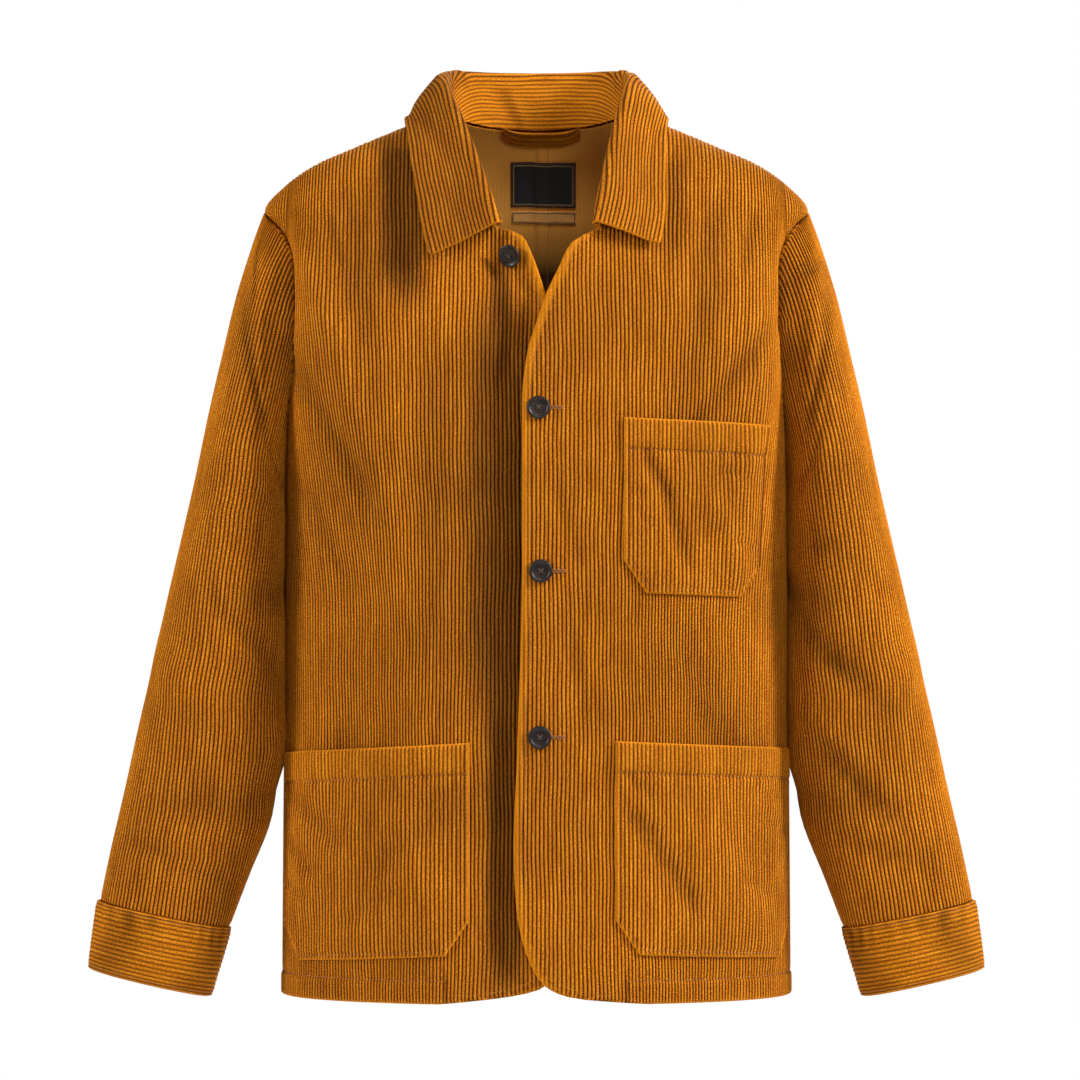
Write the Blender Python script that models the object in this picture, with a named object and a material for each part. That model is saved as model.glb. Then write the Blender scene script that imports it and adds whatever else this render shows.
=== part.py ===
"""A corduroy work jacket in its worn form, hollow, with nobody in it.

Frame: metres, +Z up, +Y to the wearer's back. The front faces -Y, so the wearer's right is at -X.
The origin is between the shoulders, at the base of the neck, where the wearer holds the jacket up.
Sizes below are in millimetres, and MM turns them into metres.
"""

from collections import namedtuple
from functools import lru_cache
import math

import bmesh
import bpy
import numpy as np
from mathutils import Matrix, Vector

MM = 0.001

# ---- Driving dimensions, in millimetres ----

CLOTH = 1.8  # one layer of corduroy, pile and all
DOUBLED = 2.8  # collar and cuffs, two pressed layers
SEAM_GAP = 0.3  # between pieces that are sewn to each other
NECK_SIDE_Z = 6.0  # where the shoulder seam meets the collar
NECK_FRONT_Z = -93.0  # where the neck seam ends on the fronts
ARMHOLE_MIDDLE_Z = -174.0
ARMHOLE_HALF_HEIGHT = 97.0
ARMHOLE_FRONT_DEPTH = 68.0  # how far the armhole reaches forward of the side plane
ARMHOLE_BACK_DEPTH = 72.0
BACK_SEAM_X = 5.0  # the centre back seam, as the jacket hangs
UNDERLAP_DROP = 3.4  # how far the buttoned-under front lies behind the other one
UNDERLAP_EDGE = 28.0  # the drop begins this far from the centre line
UNDERLAP_RAMP = 22.0  # and is complete this much nearer to it
UNDERLAP_TOP_Z = -118.0  # it also begins below this level
UNDERLAP_RISE = 26.0
BUTTON_DIAMETER = 19.0
BUTTON_THICKNESS = 3.0
BUTTON_RIM = 2.6
BUTTON_HOLE = 1.9
BUTTON_HOLE_SPACING = 3.6
BUTTON_LIFT = 0.4  # from the cloth to the back of a button
TOP_BUTTON_LIFT = 2.0  # the undone one, on its thread shank
LEVEL_STEP = 1.5  # used to measure which way a panel faces
SIDE_FADE = 30.0  # folds of the torso fade out this close to the side seam

# The torso is a stack of level sections. Each is a rounded curve: half_width to the side, front
# and back from the side plane, and a squareness for each half (2 is an ellipse, more is flatter).
Section = namedtuple("Section", "z half_width front back front_square back_square")
TORSO = [
    Section(6, 78, 34, 34, 2.0, 2.0),
    Section(0, 96, 41, 43, 2.1, 2.1),
    Section(-8, 116, 47, 60, 2.1, 2.1),
    Section(-25, 156, 58, 76, 2.2, 2.2),
    Section(-38, 185, 67, 84, 2.3, 2.3),
    Section(-54, 207.5, 76, 92, 2.4, 2.4),
    Section(-77, 226, 87, 101, 2.6, 2.5),
    Section(-90, 218, 94, 105, 2.9, 2.7),
    Section(-102, 211.5, 99, 109, 3.2, 2.9),
    Section(-120, 206.5, 105, 112, 3.6, 3.0),
    Section(-150, 205, 114, 117, 3.9, 3.1),
    Section(-180, 205, 120, 119, 4.0, 3.2),
    Section(-230, 205.5, 127, 118, 3.6, 3.1),
    Section(-271, 206.5, 130, 116, 3.1, 2.8),
    Section(-300, 207.5, 131, 114, 2.8, 2.6),
    Section(-400, 209, 131, 106, 2.3, 2.3),
    Section(-520, 210, 130, 105, 2.2, 2.2),
    Section(-650, 211, 130, 109, 2.2, 2.2),
    Section(-727, 211.5, 131, 112, 2.2, 2.2),
]

# Front edge of each front, from the hem up, and then its neckline. across is the distance from
# the centre line towards the front's own side, so a negative one has passed the centre.
EdgePoint = namedtuple("EdgePoint", "z across")
RIGHT_FRONT_EDGE = [
    EdgePoint(-727, 78),
    EdgePoint(-723, 40),
    EdgePoint(-719, 12),
    EdgePoint(-713, -6),
    EdgePoint(-700, -14),
    EdgePoint(-680, -18),
    EdgePoint(-640, -19),
    EdgePoint(-240, -19),
    EdgePoint(-200, -17),
    EdgePoint(-172, -13),
    EdgePoint(-150, -8),
    EdgePoint(-129, -0.5),
    EdgePoint(-116, 5),
    EdgePoint(-104, 11),
    EdgePoint(-98, 19),
    EdgePoint(-94, 31),
    EdgePoint(-90, 36),
    EdgePoint(-78, 45),
    EdgePoint(-60, 55),
    EdgePoint(-40, 65),
    EdgePoint(-20, 73),
    EdgePoint(-5, 76.5),
    EdgePoint(6, 77),
]
LEFT_FRONT_EDGE = [
    EdgePoint(-727, 90),
    EdgePoint(-723, 40),
    EdgePoint(-719, 20),
    EdgePoint(-710, 5),
    EdgePoint(-698, -3),
    EdgePoint(-675, -11.5),
    EdgePoint(-647, -16.5),
    EdgePoint(-600, -18.5),
    EdgePoint(-520, -15.5),
    EdgePoint(-360, -11.5),
    EdgePoint(-236, -11.5),
    EdgePoint(-196, -7),
    EdgePoint(-175, -0.5),
    EdgePoint(-150, 8),
    EdgePoint(-129, 18),
    EdgePoint(-109, 28),
    EdgePoint(-100, 42),
    EdgePoint(-95, 49),
    EdgePoint(-90, 52),
    EdgePoint(-76, 57),
    EdgePoint(-60, 62),
    EdgePoint(-40, 68),
    EdgePoint(-20, 74),
    EdgePoint(-5, 76.5),
    EdgePoint(6, 77),
]
# The back neckline, from the centre back up to the neck side.
BACK_NECK_EDGE = [
    EdgePoint(-727, 0),
    EdgePoint(-8.5, 0),
    EdgePoint(-7.5, 22),
    EdgePoint(-5, 42),
    EdgePoint(-1, 60),
    EdgePoint(3, 71),
    EdgePoint(6, 77),
]

# The largest folds of the cloth. Each runs from (across, z) to (across, z) on its own panel, and
# rises by height, or sinks if that is negative, over a band as wide as width on each side.
Fold = namedtuple("Fold", "across_1 z_1 across_2 z_2 height width")
RIGHT_FRONT_FOLDS = [
    Fold(22, -150, 26, -700, -7.0, 34),
    Fold(88, -330, 96, -720, 4.0, 34),
    Fold(185, -130, 110, -360, 4.0, 20),
    Fold(34, -104, 24, -190, -5.0, 14),
    Fold(8, -102, -4, -138, 5.0, 12),
    Fold(150, -480, 190, -700, -2.5, 22),
    Fold(150, -70, 138, -200, -2.5, 22),
]
LEFT_FRONT_FOLDS = [
    Fold(46, -108, 6, -215, 5.0, 20),
    Fold(190, -150, 160, -400, 3.5, 18),
    Fold(150, -140, 100, -300, -2.5, 24),
    Fold(60, -620, 20, -700, 3.0, 26),
    Fold(120, -430, 190, -640, -2.5, 26),
    Fold(150, -60, 130, -180, -2.0, 20),
]
RIGHT_BACK_FOLDS = [
    Fold(60, -250, 40, -700, -5.0, 40),
    Fold(150, -200, 110, -480, 4.0, 34),
    Fold(180, -330, 150, -700, -3.0, 30),
]
LEFT_BACK_FOLDS = [
    Fold(50, -260, 56, -700, -4.5, 42),
    Fold(140, -190, 116, -460, 4.5, 32),
    Fold(176, -300, 160, -690, -3.5, 28),
]

# Sleeve rings from the armhole to the cuff, seen from the front: each has its outer and its inner
# end, the half depth front to back, and how far its middle lies behind the side plane.
Ring = namedtuple("Ring", "x_out z_out x_in z_in half_depth middle_y")
SLEEVE = [
    Ring(226.5, -77, 206.8, -271.5, 70, 2),
    Ring(236, -104, 209.8, -281, 77, 1),
    Ring(249, -146, 211.8, -292, 80, 0),
    Ring(261, -196, 212.6, -307, 82, -1),
    Ring(272.5, -246, 213.2, -328, 82, -3),
    Ring(283, -297, 213.4, -354, 80, -5),
    Ring(295, -350, 213.6, -388, 76, -8),
    Ring(307, -402, 213.8, -428, 70, -11),
    Ring(318.5, -455, 214, -478, 64, -14),
    Ring(330, -505, 214.4, -528, 58, -17),
    Ring(341, -556, 220, -580, 53, -20),
    Ring(352, -604, 238.5, -628, 48, -23),
    Ring(361, -647.5, 254.5, -670, 44, -26),
]
CUFF = [
    Ring(363.5, -648, 253.5, -670.8, 45.5, -26),
    Ring(367.5, -677, 261.5, -700, 42, -28),
    Ring(371, -704, 269.5, -727.5, 39, -30),
]
SLEEVE_SQUARE = 2.3
ARMHOLE_EASE = 0.06  # the share of the sleeve in which it turns from the armhole into its rings
ROW_CROWDING = 1.15  # above 1 puts the sleeve's rows closer together near the armhole
# Elbow and forearm folds: place along the sleeve (0 armhole, 1 cuff), middle angle and half
# spread round it in degrees (0 outer side, 90 front), then height and width along the sleeve.
SleeveFold = namedtuple("SleeveFold", "along angle spread height width slant")
SLEEVE_FOLDS = [
    SleeveFold(0.16, 75, 70, -3.5, 0.05, 0.10),
    SleeveFold(0.33, 130, 80, 2.5, 0.05, 0.12),
    SleeveFold(0.52, 150, 85, -3.0, 0.05, -0.08),
    SleeveFold(0.68, 60, 80, 2.5, 0.05, 0.10),
    SleeveFold(0.83, 110, 90, -2.5, 0.04, -0.06),
    SleeveFold(0.45, 270, 90, -3.0, 0.06, 0.10),
]

# The collar from the centre back to one front end: its neck seam is the neckline, roll is the
# fold along its top and leaf the free edge. Each point is across, back of the side plane, up.
CollarPoint = namedtuple("CollarPoint", "roll_x roll_y roll_z leaf_x leaf_y leaf_z")
RIGHT_COLLAR = [
    CollarPoint(0, 66, 42, 0, 86, -16),
    CollarPoint(36, 60, 42, 46, 80, -16),
    CollarPoint(62, 42, 42, 84, 58, -13),
    CollarPoint(76, 14, 39, 104, 22, -6),
    CollarPoint(76, -14, 28, 107, -14, -6),
    CollarPoint(68, -38, 10, 104, -38, -24),
    CollarPoint(58, -60, -14, 101, -56, -46),
    CollarPoint(48, -79, -42, 96, -72, -76),
    CollarPoint(39, -96, -68, 92, -87, -102),
    CollarPoint(30, -103.5, -92, 87, -101, -124),
]
LEFT_COLLAR = [
    CollarPoint(0, 66, 42, 0, 86, -16),
    CollarPoint(36, 60, 42, 46, 80, -16),
    CollarPoint(62, 42, 42, 84, 58, -13),
    CollarPoint(77, 14, 39, 104, 22, -4),
    CollarPoint(77, -14, 30, 108, -14, -2),
    CollarPoint(72, -38, 12, 106, -38, -20),
    CollarPoint(66, -60, -10, 105, -56, -42),
    CollarPoint(60, -77, -34, 104, -70, -66),
    CollarPoint(54, -92, -62, 104, -87, -92),
    CollarPoint(48, -103, -92, 101, -102, -112),
]
COLLAR_FOLD_RADIUS = 4.6  # of the roll, at the back
COLLAR_END_RADIUS = 3.5  # and pressed tighter at the front ends
NECK_END_LIFT = 1.3  # more room under the stand where it runs along the fronts
STAND_CLEARANCE = 1.4  # from the stand's neck face to the body, where it lies on the fronts
LEAF_BULGE = 3.0  # how far the leaf rounds out between its roll and its edge
LEAF_CLEARANCE = 1.2  # from the leaf's hidden face to the body
NECK_SIDE_SHARE = 0.42  # of the half neckline, from the centre back to the neck side
NECK_SIDE_ACROSS = 77.0
NECK_CROWDING = 1.15  # above 1 puts the collar's front columns closer together near the neck side
STAND_SHARE = 0.25  # the share of the collar's seen face that is its stand
ROLL_SHARE = 0.5  # and where the leaf begins, after the roll
COLLAR_STEP = 0.02  # used to measure which way the collar runs

# Patch pockets on the fronts: across is measured along the cloth from the centre line. tilt is
# how much lower the outer end is, and corner is the size of the cut-off lower corners.
Pocket = namedtuple("Pocket", "inner width top height tilt corner")
CHEST_POCKET = Pocket(71, 126, -250.5, 142, 5, 25)
RIGHT_POCKET = Pocket(54, 188, -514.5, 172, 11, 26)
LEFT_POCKET = Pocket(64, 181, -513, 173, 9, 24)

POCKET_GAP = 0.8  # clear of the front's facets
POCKET_MOUTH_GAP = 1.8  # along the open top edge

# Buttons down the front. The first is undone and sits on the right front, the rest on the left.
Button = namedtuple("Button", "x z")
BUTTONS = [Button(-22.5, -117), Button(1.8, -242.5), Button(3.6, -375), Button(2.8, -510)]

# Hanger loop and labels inside the back, between two x and two z values.
LOOP_ENDS_X = (-29, 37)
LOOP_TOP_Z = -6
LOOP_SAG = 9
LOOP_WIDTH = 12
LOOP_BOW = 1.2  # how far the loop's middle stands off the back
LOOP_DROP = 3
Label = namedtuple("Label", "left right top bottom")
NECK_LABEL = Label(-22, 33.5, -31, -68.5)
SIZE_LABEL = Label(-21.5, 34, -72, -82.5)
LABEL_THICKNESS = 1.0
LABEL_GAP = 0.7

MATERIALS = {
    "corduroy": ((0.44, 0.135, 0.008), 0.85),
    "corduroy_inside": ((0.33, 0.11, 0.012), 0.9),
    "horn_button": ((0.022, 0.012, 0.008), 0.25),
    "label_black": ((0.008, 0.008, 0.009), 0.7),
    "label_tan": ((0.36, 0.14, 0.02), 0.8),
}


# ---- Curves and tables ----


def smooth_value(table, column, key, value):
    """Reads a column of a table at key=value, with a smooth curve through its rows."""
    keys = [getattr(row, key) for row in table]
    values = [getattr(row, column) for row in table]
    if keys[0] > keys[-1]:
        keys.reverse()
        values.reverse()
    value = min(max(value, keys[0]), keys[-1])
    i = min(max(int(np.searchsorted(keys, value)) - 1, 0), len(keys) - 2)
    step = keys[i + 1] - keys[i]
    slope = (values[i + 1] - values[i]) / step

    def tangent(j):
        if j in (0, len(keys) - 1):
            return slope
        before = (values[j] - values[j - 1]) / (keys[j] - keys[j - 1])
        after = (values[j + 1] - values[j]) / (keys[j + 1] - keys[j])
        if before * after <= 0:
            return 0.0
        return 2 * before * after / (before + after)

    t = (value - keys[i]) / step
    start = tangent(i) * step
    end = tangent(i + 1) * step
    rise = values[i + 1] - values[i]
    return values[i] + t * start + t * t * (3 * rise - 2 * start - end) + t**3 * (start + end - 2 * rise)


def spread_value(rows, column, t):
    """Reads a column of evenly placed rows at t from 0 to 1, with a smooth curve through them."""
    place = min(max(t, 0.0), 1.0) * (len(rows) - 1)
    i = min(int(place), len(rows) - 2)
    t = place - i
    values = [getattr(rows[min(max(i + k, 0), len(rows) - 1)], column) for k in (-1, 0, 1, 2)]
    start = (values[2] - values[0]) / 2
    end = (values[3] - values[1]) / 2
    rise = values[2] - values[1]
    return values[1] + t * start + t * t * (3 * rise - 2 * start - end) + t**3 * (start + end - 2 * rise)


def ease(t):
    """0 to 1 with level ends."""
    t = min(max(t, 0.0), 1.0)
    return t * t * (3 - 2 * t)


def unit(vector):
    return vector / max(float(np.linalg.norm(vector)), 1e-9)


# ---- The torso's surface ----


@lru_cache(maxsize=None)
def section_curve(z, is_front):
    """x, y and the length along one quarter of the section at z, from the centre to the side."""
    depth = smooth_value(TORSO, "front" if is_front else "back", "z", z)
    square = smooth_value(TORSO, "front_square" if is_front else "back_square", "z", z)
    width = smooth_value(TORSO, "half_width", "z", z)
    angle = np.linspace(0, math.pi / 2, 181)
    x = width * np.sin(angle) ** (2 / square)
    y = depth * np.abs(np.cos(angle)) ** (2 / square) * (-1 if is_front else 1)
    length = np.concatenate([[0], np.cumsum(np.hypot(np.diff(x), np.diff(y)))])
    return x, y, length


def section_length(z, is_front):
    return float(section_curve(round(z, 3), is_front)[2][-1])


def length_at_across(across, z, is_front):
    """Length along the section at z from the centre to a distance across."""
    x, _, length = section_curve(round(z, 3), is_front)
    return math.copysign(float(np.interp(abs(across), x, length)), across)


def length_at_depth(depth, z, is_front):
    """Length along the section at z to where it is as far as depth from the side plane."""
    _, y, length = section_curve(round(z, 3), is_front)
    return float(np.interp(-depth, -np.abs(y), length))


def fold_height(across, z, folds):
    """Sum of the folds at one place on a panel."""
    total = 0.0
    for fold in folds:
        along = np.array([fold.across_2 - fold.across_1, fold.z_2 - fold.z_1], dtype=float)
        place = np.array([across - fold.across_1, z - fold.z_1], dtype=float)
        t = float(place @ along) / float(along @ along)
        aside = abs(float(along[0] * place[1] - along[1] * place[0])) / float(np.linalg.norm(along))
        if aside < fold.width and -0.15 < t < 1.15:
            fade = ease((t + 0.15) / 0.35) * ease((1.15 - t) / 0.35)
            total += fold.height * fade * (0.5 + 0.5 * math.cos(math.pi * aside / fold.width))
    return total


class Panel:
    """One panel of the torso: its half, its side (1 is the wearer's left) and its folds."""

    def __init__(self, is_front, side, edge, folds, drop=None):
        self.is_front = is_front
        self.side = side
        self.edge = edge
        self.folds = folds
        self.drop = drop

    def plain(self, length, z):
        """The section's point without folds."""
        x, y, lengths = section_curve(round(z, 3), self.is_front)
        across = math.copysign(float(np.interp(abs(length), lengths, x)), length)
        return np.array([across * self.side, float(np.interp(abs(length), lengths, y)), z])

    def outward(self, length, z):
        """The direction out of the panel."""
        step = LEVEL_STEP
        inner = min(length, section_length(z, self.is_front) - step)
        level = self.plain(inner + step, z) - self.plain(inner - step, z)
        rise = self.plain(length, min(z + step, NECK_SIDE_Z)) - self.plain(length, z - step)
        normal = unit(np.cross(level, rise)) * self.side
        return normal if self.is_front else -normal

    def skin(self, length, z, lift=0.0):
        """A point of the outer face, or lift millimetres off it."""
        across = self.plain(length, z)[0] * self.side
        to_side = section_length(z, self.is_front) - length
        height = fold_height(across, z, self.folds) * ease(to_side / SIDE_FADE)
        if self.drop:
            height -= self.drop(across, z)
        return self.plain(length, z) + (height + lift) * self.outward(length, z)

    def limits(self, z):
        """The lengths at which the panel begins and ends at height z."""
        across = smooth_value(self.edge, "across", "z", z)
        start = length_at_across(across, z, self.is_front)
        end = section_length(z, self.is_front)
        level = (z - ARMHOLE_MIDDLE_Z) / ARMHOLE_HALF_HEIGHT
        if abs(level) < 1:
            reach = ARMHOLE_FRONT_DEPTH if self.is_front else ARMHOLE_BACK_DEPTH
            end = length_at_depth(reach * math.sqrt(1 - level * level), z, self.is_front)
        if self.edge is BACK_NECK_EDGE and across < 1:
            start = self.side * BACK_SEAM_X
        return start + SEAM_GAP / 2, end - SEAM_GAP / 2


def underlap(across, z):
    """How far the front that is buttoned under lies back, near the closing edge."""
    aside = ease((UNDERLAP_EDGE - across) / UNDERLAP_RAMP)
    return UNDERLAP_DROP * aside * ease((UNDERLAP_TOP_Z - z) / UNDERLAP_RISE)


FRONT_RIGHT = Panel(True, -1, RIGHT_FRONT_EDGE, RIGHT_FRONT_FOLDS, underlap)
FRONT_LEFT = Panel(True, 1, LEFT_FRONT_EDGE, LEFT_FRONT_FOLDS)
BACK_RIGHT = Panel(False, -1, BACK_NECK_EDGE, RIGHT_BACK_FOLDS)
BACK_LEFT = Panel(False, 1, BACK_NECK_EDGE, LEFT_BACK_FOLDS)


# ---- Objects ----


def clear_scene():
    for thing in list(bpy.data.objects):
        bpy.data.objects.remove(thing, do_unlink=True)


def make_collection(name):
    collection = bpy.data.collections.new(name)
    bpy.context.scene.collection.children.link(collection)
    return collection


def make_material(name):
    colour, roughness = MATERIALS[name]
    material = bpy.data.materials.get(name) or bpy.data.materials.new(name)
    material.use_nodes = True
    shader = material.node_tree.nodes["Principled BSDF"]
    shader.inputs["Base Color"].default_value = (*colour, 1.0)
    shader.inputs["Roughness"].default_value = roughness
    shader.inputs["Metallic"].default_value = 0.0
    return material


def add_object(collection, name, mesh, material):
    thing = bpy.data.objects.new(name, mesh)
    mesh.materials.clear()
    mesh.materials.append(make_material(material))
    collection.objects.link(thing)
    return thing


def cloth_wall(collection, name, material, columns, rows, place, is_tube=False):
    """A closed wall of cloth. place(u, v) gives its outer and its inner point in millimetres.

    u runs from 0 to 1 over the columns and v over the rows. A tube's last column is welded to
    its first. Points that place puts together are merged."""
    bm = bmesh.new()
    bmesh.ops.create_grid(bm, x_segments=columns, y_segments=rows, size=0.5)
    flat = bm.verts.layers.float_vector.new("flat")
    for vert in bm.verts:
        vert[flat] = (vert.co.x + 0.5, vert.co.y + 0.5, 0)
    if is_tube:
        first = {round(vert.co.y, 5): vert for vert in bm.verts if vert.co.x < -0.4999}
        last = [vert for vert in bm.verts if vert.co.x > 0.4999]
        bmesh.ops.weld_verts(bm, targetmap={vert: first[round(vert.co.y, 5)] for vert in last})
    extruded = bmesh.ops.extrude_face_region(bm, geom=bm.faces[:])
    inner = {item for item in extruded["geom"] if isinstance(item, bmesh.types.BMVert)}
    for vert in bm.verts:
        u, v, _ = vert[flat]
        outer_point, inner_point = place(u, v)
        point = inner_point if vert in inner else outer_point
        vert.co = Vector([float(value) * MM for value in point])
    bmesh.ops.remove_doubles(bm, verts=bm.verts, dist=0.00002)
    bmesh.ops.recalc_face_normals(bm, faces=bm.faces)
    mesh = bpy.data.meshes.new(name)
    bm.to_mesh(mesh)
    bm.free()
    mesh.shade_smooth()
    mesh.set_sharp_from_angle(angle=math.radians(50))
    return add_object(collection, name, mesh, material)


# ---- Fronts and backs ----

# Levels at the armhole are those of the sleeve's columns, so that both have the same seam line.
ARMHOLE_STEPS = 12
ARMHOLE_LEVELS = [
    ARMHOLE_MIDDLE_Z - ARMHOLE_HALF_HEIGHT * math.cos(math.pi * step / ARMHOLE_STEPS)
    for step in range(ARMHOLE_STEPS + 1)
]
LOWER_LEVELS = [-650, -610, -568, -526, -484, -442, -400, -362, -328, -298]
FRONT_LEVELS = (
    [-727, -725, -721, -716, -708, -696, -678]
    + LOWER_LEVELS
    + ARMHOLE_LEVELS
    + [-66, -54, -42, -30, -18, -7, 2]
)
BACK_LEVELS = (
    [-727, -690]
    + LOWER_LEVELS
    + ARMHOLE_LEVELS
    + [-66, -54, -42, -30, -20, -12, -8, -5, -1, 3]
)
# Columns from the closing edge or centre back to the side, closer where the body turns.
FRONT_SHARES = [0, 0.05, 0.11, 0.19, 0.28, 0.37, 0.46, 0.55, 0.64, 0.72, 0.8, 0.87, 0.93, 0.97, 1]
BACK_SHARES = [0, 0.12, 0.25, 0.38, 0.51, 0.63, 0.74, 0.84, 0.92, 0.97, 1]


def make_panel(collection, name, panel, levels, shares):
    """A front or a back, level by level from the hem to the neck side."""

    def place(u, v):
        z = levels[int(round(v * (len(levels) - 1)))]
        start, end = panel.limits(z)
        share = shares[int(round(u * (len(shares) - 1)))]
        length = start + (end - start) * share
        outer = panel.skin(length, z)
        return outer, outer - CLOTH * panel.outward(length, z)

    return cloth_wall(collection, name, "corduroy", len(shares) - 1, len(levels) - 1, place)


# ---- Sleeves and cuffs ----

SLEEVE_COLUMNS = 2 * ARMHOLE_STEPS
SLEEVE_ROWS = 20
CUFF_ROWS = 3


def armhole_point(angle, side):
    """The armhole's seam at an angle: 0 is the shoulder tip, 90 degrees the front."""
    z = ARMHOLE_MIDDLE_Z + ARMHOLE_HALF_HEIGHT * math.cos(angle)
    is_front = math.sin(angle) >= 0
    reach = ARMHOLE_FRONT_DEPTH if is_front else ARMHOLE_BACK_DEPTH
    length = length_at_depth(reach * abs(math.sin(angle)), z, is_front)
    x, y, lengths = section_curve(round(z, 3), is_front)
    return np.array([float(np.interp(length, lengths, x)) * side, float(np.interp(length, lengths, y)), z])


def ring_point(rings, t, angle, side, swell=0.0):
    """A point of the ring at t, from 0 to 1 down the rings, swelled by some millimetres."""
    row = {column: spread_value(rings, column, t) for column in Ring._fields}
    out_x, out_z = math.cos(angle), math.sin(angle)
    along = math.copysign(abs(out_x) ** (2 / SLEEVE_SQUARE), out_x)
    depth = math.copysign(abs(out_z) ** (2 / SLEEVE_SQUARE), out_z)
    half = np.array([row["x_out"] - row["x_in"], 0, row["z_out"] - row["z_in"]]) / 2
    half = half + unit(half) * swell
    middle = np.array([row["x_out"] + row["x_in"], 2 * row["middle_y"], row["z_out"] + row["z_in"]]) / 2
    point = middle + half * along - np.array([0, row["half_depth"] + swell, 0]) * depth
    point[0] *= side
    return point


def sleeve_fold_height(t, angle):
    total = 0.0
    for fold in SLEEVE_FOLDS:
        turn = (math.degrees(angle) - fold.angle + 180) % 360 - 180
        if abs(turn) < fold.spread:
            off = t - fold.along - fold.slant * turn / fold.spread * 0.5
            if abs(off) < fold.width:
                fade = math.cos(math.pi / 2 * turn / fold.spread) ** 2
                total += fold.height * fade * (0.5 + 0.5 * math.cos(math.pi * off / fold.width))
    return total


def sleeve_skin(t, angle, side):
    """The sleeve's outer face: it starts on the armhole and turns into the rings."""
    on_ring = ring_point(SLEEVE, t, angle, side)
    joined = ease(t / ARMHOLE_EASE)
    start = armhole_point(angle, side) + np.array([side * SEAM_GAP * 1.2, 0, 0])
    on_ring = on_ring + unit(on_ring - ring_middle(t, side)) * sleeve_fold_height(t, angle)
    return start * (1 - joined) + on_ring * joined


def ring_middle(t, side):
    row = {column: spread_value(SLEEVE, column, t) for column in Ring._fields}
    across = (row["x_out"] + row["x_in"]) / 2
    return np.array([side * across, row["middle_y"], (row["z_out"] + row["z_in"]) / 2])


def make_sleeve(collection, name, side):
    """A one-piece sleeve, open at the armhole and at the cuff."""

    def place(u, v):
        angle = 2 * math.pi * (u % 1.0)
        t = v**ROW_CROWDING
        outer = sleeve_skin(t, angle, side)
        if v < 0.001:
            middle = np.array([outer[0], 0, ARMHOLE_MIDDLE_Z])
            return outer, outer + CLOTH * unit(middle - outer)
        round_it = sleeve_skin(t, angle + 0.03, side) - sleeve_skin(t, angle - 0.03, side)
        down = sleeve_skin(min(t + 0.008, 1), angle, side) - sleeve_skin(t - 0.004, angle, side)
        normal = unit(np.cross(round_it, down)) * side
        if float(normal @ (outer - ring_middle(t, side))) < 0:
            normal = -normal
        return outer, outer - CLOTH * normal

    return cloth_wall(collection, name, "corduroy", SLEEVE_COLUMNS, SLEEVE_ROWS, place, is_tube=True)


def make_cuff(collection, name, side):
    """A doubled band round the sleeve's end."""

    def place(u, v):
        angle = 2 * math.pi * (u % 1.0)
        return ring_point(CUFF, v, angle, side), ring_point(CUFF, v, angle, side, -DOUBLED)

    return cloth_wall(collection, name, "corduroy", SLEEVE_COLUMNS, CUFF_ROWS, place, is_tube=True)


# ---- Collar ----

COLLAR_COLUMNS = 40
# Where the rows lie on the way over the collar, closer together round the roll.
COLLAR_ROWS = [0, 0.12, 0.25, 0.3, 0.345, 0.375, 0.405, 0.45, 0.5, 0.66, 0.84, 1.0]


def neck_point(side, t, lift):
    """The neckline at t, 0 at the centre back and 1 at the front end, lifted off the panels."""
    if t < NECK_SIDE_SHARE:
        across = NECK_SIDE_ACROSS * math.sin(math.pi / 2 * t / NECK_SIDE_SHARE)
        curve = BACK_NECK_EDGE[1:]
        z = float(np.interp(across, [point.across for point in curve], [point.z for point in curve]))
        panel = BACK_LEFT if side > 0 else BACK_RIGHT
    else:
        down = ((t - NECK_SIDE_SHARE) / (1 - NECK_SIDE_SHARE)) ** NECK_CROWDING
        z = NECK_SIDE_Z + (NECK_FRONT_Z - NECK_SIDE_Z) * down
        panel = FRONT_LEFT if side > 0 else FRONT_RIGHT
        across = smooth_value(panel.edge, "across", "z", z)
    z = min(z, NECK_SIDE_Z - 0.5)
    return panel.skin(length_at_across(across, z, panel.is_front), z, lift)


def collar_row(side, t):
    """Neck seam, roll line and leaf edge at t from the centre back to the front end."""
    rows = LEFT_COLLAR if side > 0 else RIGHT_COLLAR
    value = {column: spread_value(rows, column, t) for column in CollarPoint._fields}
    roll = np.array([value["roll_x"] * side, value["roll_y"], value["roll_z"]])
    leaf = np.array([value["leaf_x"] * side, value["leaf_y"], value["leaf_z"]])
    seam = neck_point(side, t, SEAM_GAP + NECK_END_LIFT * ease(2.5 * t - 1.2))
    return seam, roll, leaf


def collar_frame(side, t):
    """The direction up the collar's fold and the direction out of the neck."""
    seam, roll, leaf = collar_row(side, t)
    _, before, _ = collar_row(side, max(t - COLLAR_STEP, 0))
    _, after, _ = collar_row(side, min(t + COLLAR_STEP, 1))
    up = unit(roll - (seam + leaf) / 2)
    out = unit(np.cross(up, after - before)) * side
    return up, out


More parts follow.
